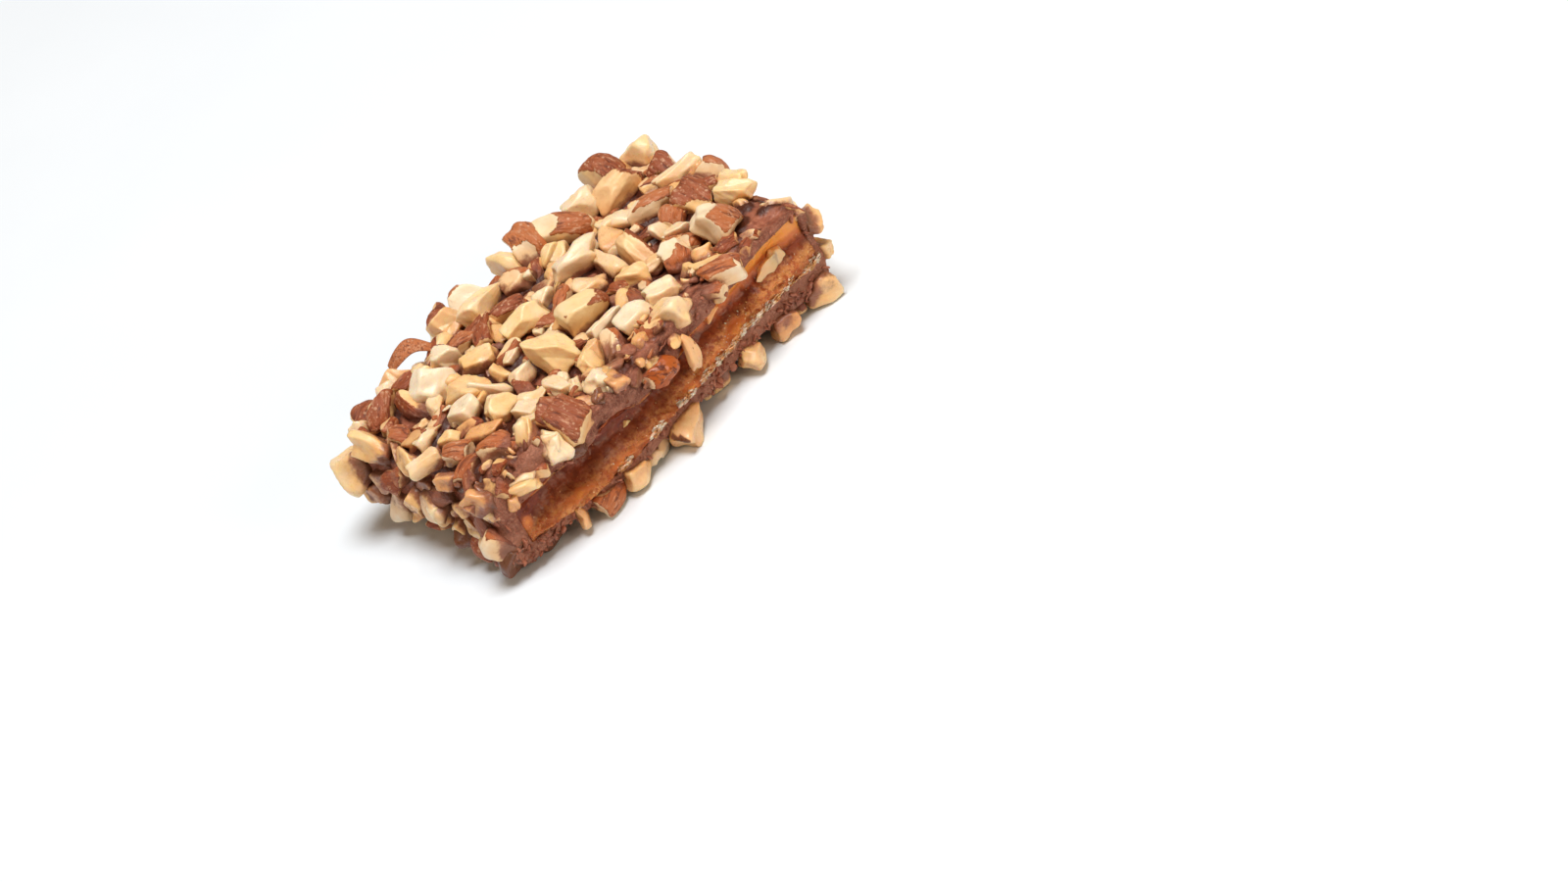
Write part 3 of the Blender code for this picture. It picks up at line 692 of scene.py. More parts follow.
def almond_reach(almond, ways):
    """How far an almond piece reaches along each unit direction, as a share of its half sizes.

    A piece of chopped almond has a few knife cuts and, where it has skin, a part of the almond's outside.
    The second result is above 0 where that outside is the surface."""
    rng = random.Random(almond.seed)
    skin = None
    if almond.look in SKIN_SIDES:
        skin = unit(almond.axes @ np.array(SKIN_SIDES[almond.look]))
    fine = random.Random(almond.seed + 0.25)
    cuts = knife_cuts(rng) + chips(CHIPS, CHIP_REACH, rng) + chips(FINE_CHIPS, FINE_CHIP_REACH, fine)
    cuts = [cut for cut in cuts if skin is None or cut[0] @ skin < SKIN_FACING]
    crispness = random.Random(almond.seed + 0.75).uniform(*CRISPNESS)
    chopped = softly_least([hollow_cut(ways, *cut) for cut in cuts], crispness)
    cut = notched(chopped, ways, fine, skin, crispness)
    outside = np.full(len(ways), 9.0)
    if skin is not None:
        along = SKIN_CENTRE * (ways @ skin)
        outside = np.sqrt(along**2 - SKIN_CENTRE**2 + SKIN_RADIUS**2) - along
    lumps = 1.0
    for _ in range(3):
        wave = np.array([rng.uniform(-6, 6) for _ in range(3)])
        lumps = lumps + LUMP * np.sin(ways @ wave + rng.uniform(0, 6))
    scoop = unit(random_vector(rng))
    dent = rng.choice(SCOOPS) * np.exp(-np.sum((ways - scoop) ** 2, axis=1) / SCOOP_SPREAD)
    whole = np.minimum(softly_least([cut, outside], crispness), MOST_REACH)
    return whole * lumps * (1.0 - dent), cut - outside


# ---- Mesh helpers ----


def add_object(name, data):
    made = bpy.data.objects.new(name, data)
    bpy.context.scene.collection.objects.link(made)
    return made


def block_mesh(cuts):
    """A closed block, -0.5 to 0.5 in X and 0 to 1 in Y and Z, cut into a grid."""
    mesh = bmesh.new()
    bmesh.ops.create_cube(mesh, size=1.0)
    bmesh.ops.translate(mesh, verts=mesh.verts, vec=(0.0, 0.5, 0.5))
    for axis, count in enumerate(cuts):
        along = [e for e in mesh.edges if abs(e.verts[0].co[axis] - e.verts[1].co[axis]) > 0.5]
        bmesh.ops.subdivide_edges(mesh, edges=along, cuts=count, use_grid_fill=True)
    return mesh


def vertex_array(mesh):
    return np.array([vertex.co[:] for vertex in mesh.verts])


def moved(mesh, places):
    """Moves a bmesh's vertices to an array of places."""
    for vertex, place in zip(mesh.verts, places):
        vertex.co = place
    return mesh


def normal_array(mesh):
    mesh.normal_update()
    return np.array([vertex.normal[:] for vertex in mesh.verts])


def noise_at(points, spacing, seed=0.0):
    """Smooth random values, about -1 to 1, whose bumps are about spacing apart."""
    offset = Vector((seed * 7.3, seed * 3.1, seed * 5.7))
    return np.array([noise.noise(Vector(point) / spacing + offset) for point in points])


def layered(points, layers):
    return sum(height * noise_at(points, spacing, seed) for height, spacing, seed in layers)


def creased(points, spacing, seed):
    """Plates with creases between them, -1.5 to 0.5."""
    return 0.5 - 2.0 * np.abs(noise_at(points, spacing, seed))


def ledges(points, spacing, seed):
    """Noise that goes up in steps, as broken chocolate does, about -1 to 1."""
    level = 4.0 * noise_at(points, spacing, seed)
    whole = np.floor(level)
    return (whole + 0.5 + smooth_step(level - whole, 0.25, 0.75)) / 4.0


def crags(points):
    """How far broken chocolate stands out, about -1 to 1: less low down and at the far end."""
    upper = smooth_step(points[:, 2], CRAGS_LOW, CRAGS_HIGH)
    far = smooth_step(points[:, 0], 8 * MM, 16 * MM)
    stone = sum(height * ledges(points, spacing, seed) for height, spacing, seed in CRAG_LEDGES)
    return (0.45 + 0.55 * upper) * (1.0 - 0.6 * far) * stone


def unit_rows(vectors):
    return vectors / np.linalg.norm(vectors, axis=1)[:, None]


def balls(count, detail):
    """Unit balls in one mesh, and the directions of each ball's vertices."""
    mesh = bmesh.new()
    for _ in range(count):
        bmesh.ops.create_icosphere(mesh, subdivisions=detail, radius=1.0)
    return mesh, unit_rows(vertex_array(mesh)).reshape(count, -1, 3)


def object_from(mesh, name, material):
    """Makes a finished, smooth-shaded object of a bmesh, at the part's place."""
    bmesh.ops.recalc_face_normals(mesh, faces=mesh.faces)
    for face in mesh.faces:
        face.smooth = True
    data = bpy.data.meshes.new(name)
    mesh.to_mesh(data)
    mesh.free()
    data.transform(Matrix.Translation(SHIFT))
    data.materials.append(material)
    return add_object(name, data)


def give(target, name, values):
    """Stores one number or one vector at each vertex."""
    values = np.asarray(values, np.float32)
    kind, field = ("FLOAT", "value") if values.ndim == 1 else ("FLOAT_VECTOR", "vector")
    layer = target.data.attributes.new(name, kind, "POINT")
    layer.data.foreach_set(field, values.ravel())


def read_vertices(target, name):
    values = np.empty(3 * len(target.data.vertices))
    target.data.vertices.foreach_get(name, values)
    return values.reshape(-1, 3)


def places_of(target):
    """The places of an object's vertices, in the part's source's own frame."""
    return read_vertices(target, "co") - np.array(SHIFT)


def normals_of(target):
    """The outward ways at an object's vertices."""
    return read_vertices(target, "normal")


def cut_away(target, cutter):
    """Cuts one object from another, and removes it."""
    modifier = target.modifiers.new("cut", "BOOLEAN")
    modifier.operation = "DIFFERENCE"
    modifier.object = cutter
    modifier.solver = "MANIFOLD"
    graph = bpy.context.evaluated_depsgraph_get()
    result = bpy.data.meshes.new_from_object(target.evaluated_get(graph))
    target.modifiers.clear()
    target.data = result
    bpy.data.objects.remove(cutter)


def surface_of(target):
    """A tree that finds the nearest place on an object."""
    mesh = bmesh.new()
    mesh.from_mesh(target.data)
    tree = BVHTree.FromBMesh(mesh)
    mesh.free()
    return tree


def heights_over(surface, places):
    """How far each place stands out of a surface. Inside it the heights are below 0."""
    heights = np.empty(len(places))
    for index, place in enumerate(places):
        near, normal, _, distance = surface.find_nearest(Vector(place) + SHIFT)
        outside = (Vector(place) + SHIFT - near).dot(normal) > 0.0
        heights[index] = distance if outside else -distance
    return heights


# ---- Materials ----


class Nodes:
    """The nodes of one material, and its shader."""

    def __init__(self, name):
        self.material = bpy.data.materials.new(name)
        self.material.use_nodes = True
        self.tree = self.material.node_tree
        self.shader = self.tree.nodes["Principled BSDF"]

    def feed(self, socket, value):
        """Gives an input a value, or links another node's socket to it."""
        if isinstance(value, bpy.types.NodeSocket):
            self.tree.links.new(value, socket)
        else:
            socket.default_value = value

    def shaded(self, **values):
        """Sets the shader's inputs, and returns the finished material."""
        for key, value in values.items():
            self.feed(self.shader.inputs[key.replace("_", " ")], value)
        return self.material

    def wire(self, kind, inputs, **settings):
        """Adds a node. Its inputs are numbers, colours or other nodes' sockets."""
        node = self.tree.nodes.new(kind)
        for name, value in settings.items():
            setattr(node, name, value)
        for key, value in inputs.items():
            self.feed(node.inputs[key], value)
        return node

    def scaled(self, value, factors):
        """A place or a colour, multiplied axis by axis."""
        return self.wire("ShaderNodeVectorMath", {0: value, 1: factors}, operation="MULTIPLY").outputs[0]

    def millimetres(self):
        """Object coordinates in millimetres."""
        return self.scaled(self.wire("ShaderNodeTexCoord", {}).outputs["Object"], (1 / MM,) * 3)

    def attribute(self, name, output="Fac"):
        return self.wire("ShaderNodeAttribute", {}, attribute_name=name).outputs[output]

    def maths(self, operation, first, second):
        return self.wire("ShaderNodeMath", {0: first, 1: second}, operation=operation).outputs[0]

    def times(self, first, second):
        return self.maths("MULTIPLY", first, second)

    def plus(self, first, second):
        return self.maths("ADD", first, second)

    def ranged(self, value, low, high, to_low=0.0, to_high=1.0):
        """Turns low to high into to_low to to_high, smoothly, and holds what lies outside."""
        inputs = {"Value": value, "From Min": low, "From Max": high, "To Min": to_low, "To Max": to_high}
        return self.wire("ShaderNodeMapRange", inputs, interpolation_type="SMOOTHSTEP").outputs["Result"]

    def cloud(self, place, scale, detail=3.0, roughness=0.55, distortion=0.0):
        """Noise, about 0.3 to 0.7."""
        inputs = {"Vector": place, "Scale": scale, "Detail": detail, "Roughness": roughness}
        return self.wire("ShaderNodeTexNoise", {**inputs, "Distortion": distortion}).outputs["Fac"]

    def wander(self, place, scale, amount, detail=4.0):
        """Noise around 0, to make an edge ragged."""
        return self.times(self.maths("SUBTRACT", self.cloud(place, scale, detail, 0.6), 0.5), 2.0 * amount)

    def specks(self, place, scale, size):
        """1 in small spots, up to size wide as shares of their cells, and 0 around them."""
        cells = self.wire("ShaderNodeTexVoronoi", {"Vector": place, "Scale": scale, "Randomness": 1.0})
        draw = self.wire("ShaderNodeSeparateColor", {0: cells.outputs["Color"]}).outputs[0]
        inside = self.maths("SUBTRACT", self.ranged(draw, 0.35, 1.0, 0.0, size), cells.outputs["Distance"])
        return self.ranged(inside, 0.0, size * 0.3)

    def mixed(self, share, first, second):
        """Mixes two colours, each an (r, g, b) or a socket."""
        first, second = [(*one, 1.0) if isinstance(one, tuple) else one for one in (first, second)]
        return self.wire("ShaderNodeMix", {0: share, 6: first, 7: second}, data_type="RGBA").outputs[2]

    def relief(self, height, depth, under=None):
        """A bump of a depth in metres."""
        inputs = {"Height": height, "Strength": 1.0, "Distance": depth}
        if under is not None:
            inputs["Normal"] = under
        return self.wire("ShaderNodeBump", inputs).outputs["Normal"]


# The first colour is painted shade, near black: for hollows between crags, chocolate between close almonds,
# and low smears on almonds.
CHOCOLATE_SHADE = (0.055, 0.011, 0.005)
CHOCOLATE_DARK = (0.205, 0.058, 0.032)
CHOCOLATE_MID = (0.365, 0.125, 0.072)
CHOCOLATE_PALE = (0.490, 0.210, 0.135)
CHOCOLATE_CRUMB = (0.540, 0.290, 0.190)


def chocolate_colour(n, place):
    """Milk chocolate: cloudy, with paler rubbed spots and specks of crumbs."""
    broad = n.ranged(n.cloud(place, 0.45), 0.33, 0.60)
    colour = n.mixed(broad, CHOCOLATE_DARK, CHOCOLATE_MID)
    rubbed = n.ranged(n.cloud(place, 1.8, 5.0, 0.65), 0.50, 0.72, 0.0, 0.8)
    colour = n.mixed(rubbed, colour, CHOCOLATE_PALE)
    crumbs = n.times(n.specks(place, 2.6, 0.24), n.ranged(n.cloud(place, 0.8), 0.5, 0.62))
    return n.mixed(n.times(crumbs, 0.8), colour, CHOCOLATE_CRUMB)


def chocolate_material(name):
    """Satin milk chocolate, rougher and paler where it broke, with painted highlights on standing crags and
    a low band, and painted shade in hollows and between close almonds.
    """
    n = Nodes(name)
    place = n.millimetres()
    broken = n.attribute("broken")
    colour = chocolate_colour(n, place)
    flakes = n.ranged(n.cloud(place, 4.0, 4.0, 0.7), 0.42, 0.62)
    colour = n.mixed(n.times(broken, n.times(flakes, 0.75)), colour, CHOCOLATE_PALE)
    # Painted light and shade on the broken chocolate: paler on standing crags and on its low band, near
    # black in the hollows.
    crag_shading = n.plus(n.attribute("crag_shading"), n.wander(place, 2.0, 0.15))
    colour = n.mixed(n.ranged(crag_shading, 0.60, 0.95, 0.0, 0.75), colour, CHOCOLATE_PALE)
    colour = n.mixed(n.ranged(crag_shading, 0.46, 0.16, 0.0, 0.9), colour, CHOCOLATE_SHADE)
    # Painted shade: the chocolate darkens where almond pieces press close round it on top.
    crowd_shade = n.plus(n.attribute("crowd_shade"), n.wander(place, 1.0, 0.3))
    colour = n.mixed(n.ranged(crowd_shade, 0.22, 0.68, 0.0, 0.96), colour, CHOCOLATE_SHADE)
    normal = n.relief(n.cloud(place, 1.2, 2.0), 0.22 * MM)
    normal = n.relief(n.cloud(place, 5.0, 4.0, 0.6), 0.04 * MM, normal)
    normal = n.relief(n.times(flakes, broken), 0.10 * MM, normal)
    gloss = n.ranged(n.cloud(place, 1.1), 0.35, 0.7, 0.30, 0.50)
    gloss = n.plus(gloss, n.times(broken, 0.2))
    return n.shaded(
        Base_Color=colour,
        Roughness=gloss,
        Normal=normal,
        Specular_IOR_Level=0.3,
        Subsurface_Weight=0.08,
        Subsurface_Scale=0.4 * MM,
    )


FLESH_WHITE = (0.87, 0.76, 0.58)
FLESH_CREAM = (0.86, 0.68, 0.46)
FLESH_YELLOW = (0.88, 0.65, 0.34)
FLESH_TOASTED = (0.77, 0.47, 0.24)
FLESH_SCUFF = (0.46, 0.22, 0.09)
# Painted shade: a warm darkening multiplied into almond colour close to the coat.
NEAR_COAT_SHADE = (0.92, 0.72, 0.51)
# The darkest skin colour is painted shade, for the creases of the wrinkles.
SKIN_CREASE_SHADE = (0.110, 0.024, 0.010)
SKIN_BROWN = (0.310, 0.076, 0.025)
SKIN_PALE = (0.500, 0.160, 0.052)
SKIN_DUST = (0.640, 0.380, 0.240)
SKIN_RIM = (0.600, 0.230, 0.045)
SKIN_AMBER = (0.420, 0.105, 0.022)


def flesh_colour(n, along):
    """Almond flesh, from white to toasted by the piece's own tone, with faint scuffs."""
    tone = n.plus(n.attribute("tone"), n.wander(along, 0.55, 0.4, 3.0))
    ramp = n.wire("ShaderNodeValToRGB", {"Fac": tone})
    stops = ramp.color_ramp.elements
    stops[0].position, stops[0].color = 0.05, (*FLESH_WHITE, 1.0)
    stops[1].position, stops[1].color = 0.95, (*FLESH_TOASTED, 1.0)
    for position, colour in ((0.38, FLESH_CREAM), (0.66, FLESH_YELLOW)):
        stop = stops.new(position)
        stop.color = (*colour, 1.0)
    scuffs = n.ranged(n.cloud(along, 1.7, 5.0, 0.7, 0.5), 0.60, 0.74, 0.0, 0.45)
    return n.mixed(scuffs, ramp.outputs["Color"], FLESH_SCUFF)


def stained(n, colour, along, place):
    """An almond piece's own colour, with painted shade: darker and warmer close to the coat, and chocolate
    smeared on it, turning to near-black painted shade lower down.
    """
    height = n.plus(n.attribute("height"), n.wander(along, 1.0, 0.7))
    # Painted shade: flesh close to the coat is darkened and warmed.
    colour = n.mixed(n.ranged(height, 0.3, 1.8, 0.8, 0.0), colour, n.scaled(colour, NEAR_COAT_SHADE))
    share = n.ranged(height, -0.1, 0.5, 0.92, 0.0)
    # Chocolate smeared on the piece, darkening to painted shade deep down.
    smear_to_shade = n.mixed(n.ranged(height, -1.2, 0.2, 0.8, 0.1), chocolate_colour(n, place), CHOCOLATE_SHADE)
    return n.mixed(share, colour, smear_to_shade)


def blanched_material(name, tint=None):
    """Almond flesh all over. A tint makes it look soaked."""
    n = Nodes(name)
    along = n.attribute("along", "Vector")
    colour = stained(n, flesh_colour(n, along), along, n.millimetres())
    if tint is not None:
        colour = n.scaled(colour, tint)
    fibres = n.cloud(n.scaled(along, (0.5, 1.0, 1.0)), 2.4, 5.0, 0.6, 0.4)
    normal = n.relief(fibres, 0.06 * MM)
    return n.shaded(
        Base_Color=colour,
        Roughness=n.ranged(fibres, 0.3, 0.7, 0.24, 0.38),
        Normal=normal,
        Specular_IOR_Level=0.5,
        Subsurface_Weight=0.4,
        Subsurface_Radius=(1.0, 0.45, 0.16),
        Subsurface_Scale=0.9 * MM,
    )


def skin_colour(n, along, wrinkles):
    """Brown almond skin: wrinkled, with painted shade in the wrinkles' creases, dusty along the wrinkles,
    lighter or darker by the piece's own tone.
    """
    tone = n.plus(n.attribute("tone"), n.wander(along, 0.6, 0.4, 3.0))
    skin = n.mixed(n.ranged(tone, 0.15, 0.85), SKIN_PALE, SKIN_BROWN)
    # Painted shade: the skin darkens in the creases of its wrinkles.
    skin = n.mixed(n.ranged(wrinkles, 0.48, 0.34, 0.0, 0.8), skin, SKIN_CREASE_SHADE)
    scratched = n.cloud(n.scaled(along, (0.4, 1.0, 1.0)), 2.4, 5.0, 0.7)
    dust = n.times(n.ranged(scratched, 0.48, 0.66, 0.0, 0.8), n.ranged(wrinkles, 0.42, 0.60))
    skin = n.mixed(dust, skin, SKIN_DUST)
    skin = n.mixed(n.times(n.specks(along, 2.6, 0.36), 0.6), skin, SKIN_DUST)
    skin = n.mixed(n.times(n.specks(along, 1.5, 0.34), 0.7), skin, SKIN_DUST)
    # Amber skin, with painted shade in its creases too.
    oiled = n.mixed(n.ranged(wrinkles, 0.52, 0.36), SKIN_AMBER, SKIN_CREASE_SHADE)
    return n.mixed(n.ranged(n.attribute("tone"), -0.4, -0.8), skin, oiled)


def skin_on_material(name):
    """Almond pieces that keep a side of brown skin, with a torn border."""
    n = Nodes(name)
    along = n.attribute("along", "Vector")
    edge = n.plus(n.attribute("skin"), n.wander(along, 1.3, 0.22, 5.0))
    is_skin = n.ranged(edge, -0.004, 0.004)
    wrinkles = n.cloud(n.scaled(along, (0.22, 1.0, 1.0)), 1.7, 5.0, 0.6, 0.5)
    skin = n.mixed(n.ranged(edge, 0.004, 0.03), SKIN_RIM, skin_colour(n, along, wrinkles))
    colour = n.mixed(is_skin, flesh_colour(n, along), skin)
    colour = stained(n, colour, along, n.millimetres())
    normal = n.relief(is_skin, 0.08 * MM)
    wrinkled = n.times(is_skin, n.ranged(n.attribute("tone"), -0.8, -0.4, 0.15, 1.0))
    normal = n.relief(n.times(wrinkles, wrinkled), 0.40 * MM, normal)
    normal = n.relief(n.cloud(along, 2.4, 5.0, 0.6, 0.4), 0.06 * MM, normal)
    rough = n.ranged(is_skin, 0.0, 1.0, 0.36, 0.50)
    rough = n.ranged(n.attribute("tone"), -0.8, -0.4, 0.22, rough)
    return n.shaded(
        Base_Color=colour,
        Roughness=rough,
        Normal=normal,
        Specular_IOR_Level=0.42,
        Subsurface_Weight=0.12,
        Subsurface_Radius=(1.0, 0.55, 0.25),
        Subsurface_Scale=0.7 * MM,
    )


def loose_skin_material(name):
    """Thin flakes of skin that came off."""
    n = Nodes(name)
    place = n.millimetres()
    wrinkles = n.cloud(place, 3.6, 4.0, 0.6, 0.6)
    normal = n.relief(wrinkles, 0.2 * MM)
    return n.shaded(Base_Color=skin_colour(n, place, wrinkles), Normal=normal, Roughness=0.5)


TOFFEE_DARK = (0.140, 0.022, 0.007)
TOFFEE_AMBER = (0.275, 0.050, 0.015)
TOFFEE_ORANGE = (0.470, 0.113, 0.030)
TOFFEE_BRIGHT = (0.600, 0.170, 0.045)
TOFFEE_GOLD = (0.820, 0.310, 0.065)
# Paler crystal on the ridge's crest, brightened as a painted highlight.
TOFFEE_CREST_AND_HIGHLIGHT = (0.760, 0.360, 0.120)
# A painted glint colour.
TOFFEE_GLINT = (0.920, 0.640, 0.340)


def toffee_material(name):
    """Glossy amber: darker towards the near end, grainy orange on the ridge, golden where thin, paler
    crystal and a painted highlight on the ridge's standing plates, and painted glints.
    """
    n = Nodes(name)
    place = n.millimetres()
    ridge = n.attribute("ridge")
    streaks = n.cloud(n.scaled(place, (0.6, 1.0, 1.0)), 0.9, 4.0, 0.6)
    colour = n.mixed(n.ranged(streaks, 0.38, 0.60), TOFFEE_DARK, TOFFEE_AMBER)
    near = n.ranged(n.wire("ShaderNodeSeparateXYZ", {0: place}).outputs[0], 9.0, -4.0, 0.0, 0.55)
    colour = n.mixed(near, colour, TOFFEE_DARK)
    milky = n.ranged(n.cloud(place, 2.2, 5.0, 0.7), 0.52, 0.70, 0.0, 0.45)
    colour = n.mixed(milky, colour, TOFFEE_ORANGE)
    grains = n.cloud(place, 3.4, 5.0, 0.7)
    lit = n.times(ridge, n.ranged(grains, 0.30, 0.58, 0.45, 1.0))
    colour = n.mixed(lit, colour, TOFFEE_ORANGE)
    # The crest: paler crystal, and a painted highlight where the ridge's plates stand out most.
    crest_and_highlight = n.times(n.attribute("crest_and_highlight"), n.ranged(n.cloud(place, 1.6, 5.0, 0.7), 0.38, 0.60))
    colour = n.mixed(n.times(crest_and_highlight, 0.8), colour, TOFFEE_CREST_AND_HIGHLIGHT)
    thin = n.plus(n.attribute("thin"), n.wander(place, 1.1, 0.25))
    colour = n.mixed(n.ranged(thin, 0.15, 0.6), colour, TOFFEE_BRIGHT)
    colour = n.mixed(n.ranged(thin, 0.66, 1.02), colour, TOFFEE_GOLD)
    # Painted glints: small pale sparkles, most on the ridge.
    glints = n.times(n.specks(place, 2.0, 0.24), n.ranged(grains, 0.42, 0.52))
    glints = n.times(glints, n.plus(n.times(ridge, 0.6), 0.3))
    colour = n.mixed(glints, colour, TOFFEE_GLINT)
    normal = n.relief(streaks, 0.16 * MM)
    normal = n.relief(n.times(grains, n.plus(ridge, 0.15)), 0.22 * MM, normal)
    gloss = n.ranged(streaks, 0.4, 0.65, 0.16, 0.34)
    return n.shaded(
        Base_Color=colour,
        Roughness=gloss,
        Normal=normal,
        Specular_IOR_Level=0.3,
        Subsurface_Weight=0.3,
        Subsurface_Radius=(1.0, 0.30, 0.06),
        Subsurface_Scale=1.2 * MM,
    )


def sugar_material(name):
    """Grains of sugar: pale, glassy, some golden."""
    n = Nodes(name)
    place = n.millimetres()
    tint = n.ranged(n.cloud(place, 0.9, 4.0), 0.42, 0.56)
    colour = n.mixed(tint, (0.74, 0.61, 0.48), (0.60, 0.27, 0.09))
    return n.shaded(
        Base_Color=colour,
        Roughness=0.16,
        Specular_IOR_Level=0.7,
        Subsurface_Weight=0.3,
        Subsurface_Scale=0.3 * MM,
    )


def floor_material(name):
    n = Nodes(name)
    place = n.millimetres()
    tint = n.mixed(n.ranged(n.cloud(place, 0.02), 0.3, 0.7), (0.81, 0.89, 0.98), (0.83, 0.91, 1.0))
    return n.shaded(Base_Color=tint, Roughness=0.7, Specular_IOR_Level=0.2)


# ---- Pieces ----


def climb(points, almonds, height, reach):
    """How far chocolate climbs out at each point, because an almond piece is pressed into it there."""
    most = np.zeros(len(points))
    for almond in almonds:
        near = np.linalg.norm(points - almond.centre, axis=1) < almond.half.max() + 3 * reach
        if near.any():
            local = (points[near] - almond.centre) @ almond.axes.T
            share = np.linalg.norm(local / almond.half, axis=1)
            gap = np.maximum(0.0, share - 0.9) * almond.half.mean()
            most[near] = np.maximum(most[near], height * hill(gap, reach))
    return most


def chocolate_coat(almonds):
    """The chocolate, which climbs a little round each almond piece and is rough where it broke."""
    mesh = block_mesh(SLAB_CUTS)
    shares = vertex_array(mesh)
    places = slab_places(shares)
    moved(mesh, places)
    outwards = normal_array(mesh)
    broken = smooth_step(shares[:, 1], 0.01, 0.0)
    near_break = smooth_step(behind_break(places), *NEAR_BREAK)
    lift = climb(places, almonds, CLIMB, CLIMB_REACH) * (1.0 - 0.9 * broken)
    lift += layered(places, COAT_BUMPS) * MM
    lift += (0.08 + 0.22 * near_break) * creased(places, 1.7 * MM, 11.0) * (1.0 - broken) * MM
    rough = np.maximum(broken, 0.6 * near_break) * (1.0 - 0.7 * in_corner_lump(places))
    lift += rough * CRAG * crags(places) * MM
    places = places + outwards * lift[:, None]
    places[:, 2] = np.maximum(places[:, 2], CLEARANCE)
    coat = object_from(moved(mesh, places), "chocolate_coat", chocolate_material("milk chocolate"))
    cut_away(coat, toffee_room(coat.data.materials[0]))
    coat.data.shade_smooth()
    mark_chocolate(coat, almonds)
    return coat


def mark_chocolate(coat, almonds):
    """Stores where the chocolate is broken, how far its crags stand out (painted highlight on them, shade in
    their hollows, bounce light on the low band), and where almonds press close on top, for painted shade.
    """
    places = places_of(coat)
    depth = behind_break(places)
    near_break = smooth_step(depth, *NEAR_BREAK)
    broken = smooth_step(depth, *BROKEN)
    # Painted bounce light: the low band of the broken chocolate is made paler, as if lit from the floor.
    paler = 0.50 * broken * smooth_step(places[:, 2], CRAGS_HIGH, CRAGS_LOW)
    on_top = smooth_step(places[:, 2], *TOP_BEGINS)
    on_top *= 1.0 - 0.45 * smooth_step(depth, 5 * MM, 2 * MM)
    give(coat, "broken", broken)
    give(coat, "crag_shading", 0.5 + paler + np.maximum(broken, 0.7 * near_break) * crags(places))
    # Where almonds press close on top, which the material reads for painted shade.
    give(coat, "crowd_shade", climb(places, almonds, 1.0, 0.8 * MM) * on_top * (1.0 - broken))


def toffee_x(across, share, grow=0.0):
    inset = TOFFEE_END_INSET * smooth_step(share, 0.1, 0.45) - grow
    return TOFFEE_NEAR_X + inset + (across + 0.5) * (TOFFEE_FAR_X - TOFFEE_NEAR_X - 2 * inset)


def toffee_places(shares, recess=0.0, grow=0.0, front=0.0):
    """Turns shares of the toffee's length, depth and height into places on it.

    recess sets them back, grow enlarges the toffee all over, and front carries it out past the break."""
    across, share, rise = shares.T
    x = toffee_x(across, share, grow)
    room = back_line(x) - TOFFEE_BACK_INSET + grow - break_line(x)
    depth = np.where(share > 0.0, share**1.8 * room, -front) + recess
    low = toffee_underside(x) - grow
    z = low + rise * (toffee_top(x, depth) + grow - low)
    return np.stack([x, break_line(x) + depth, z], axis=1)


def toffee_room(material):
    """The solid that cuts the toffee's room in the coat."""
    mesh = block_mesh(ROOM_CUTS)
    places = toffee_places(vertex_array(mesh), grow=ROOM_GAP, front=ROOM_PAST_BREAK)
    return object_from(moved(mesh, places), "room", material)


def golden(x, z, rise, face):
    """How thin and golden the toffee is: most at its top edge, towards the far end, and in a few spots."""
    far = smooth_step(x, -3 * MM, 11 * MM)
    thin = smooth_step(rise, 0.64 - 0.22 * far, 0.97 - 0.07 * far) * (0.40 + 0.70 * far) * face
    for spot_x, spot_z, long, high in GOLD_SPOTS:
        away = ((x / MM - spot_x) / long) ** 2 + ((z / MM - spot_z) / high) ** 2
        thin = np.maximum(thin, 0.95 * face * np.exp(-away))
    return thin


def toffee_core(material):
    """The toffee. Its broken face has a rough ridge with plates and a lip, and a smooth trough over it."""
    mesh = block_mesh(TOFFEE_CUTS)
    shares = vertex_array(mesh)
    across, share, rise = shares.T
    x = toffee_x(across, share)
    line = np.stack([x, 0.0 * x, 1.5 * MM * rise], axis=1)
    level = np.clip(rise + layered(line, RIDGE_WANDER) * 4.0 * rise * (1.0 - rise), 0.0, 1.0)
    less_at_ends = 0.15 + 0.85 * smooth_step(np.abs(x), *HOLLOW_ENDS)
    recess = line_between(level, HOLLOW, 1.0) * less_at_ends * (1.0 - share) ** 4
    places = toffee_places(shares, recess)
    face = (1.0 - share) ** 6
    thin = golden(x, places[:, 2], rise, face)
    ridge = smooth_step(level, *RIDGE_ENDS)
    plates = PLATE * creased(places * PLATE_STRETCH, PLATE_SPACING, 6.0)
    rough = layered(places, TOFFEE_BUMPS)
    rough -= LIP * ridge * hill(x - LIP_X, LIP_REACH)
    rough -= ridge * (plates + layered(places, PLATE_EDGES))
    places[:, 1] += face * rough * MM
    bumps = noise_at(places, TOP_BUMP_SPACING, 8.0)
    places[:, 2] += face * smooth_step(rise, 0.8, 1.0) * TOP_BUMP * MM * bumps
    core = object_from(moved(mesh, places), "toffee_core", material)
    # The crest: along the ridge line, and a painted highlight where the plates stand out most.
    crest_and_highlight = hill(level - 0.27, 0.13) * (0.55 + 0.45 * smooth_step(x, -12 * MM, 12 * MM))
    give(core, "thin", thin)
    give(core, "ridge", ridge)
    give(core, "crest_and_highlight", face * np.maximum(ridge * smooth_step(rough, 0.0, -0.7), crest_and_highlight))
    return core


# The looks' own tones, which their materials read. Below 0 the skin is amber, and above 1 the flesh is tan.
TONES = {
    "white": (0.0, 0.3),
    "cream": (0.25, 0.7),
    "toasted": (0.6, 1.0),
    "coated": (0.8, 1.0),
    "tan": (1.2, 1.2),
    "amber front": (-1.0, -1.0),
}
SKIN_TONES = (0.1, 0.9)
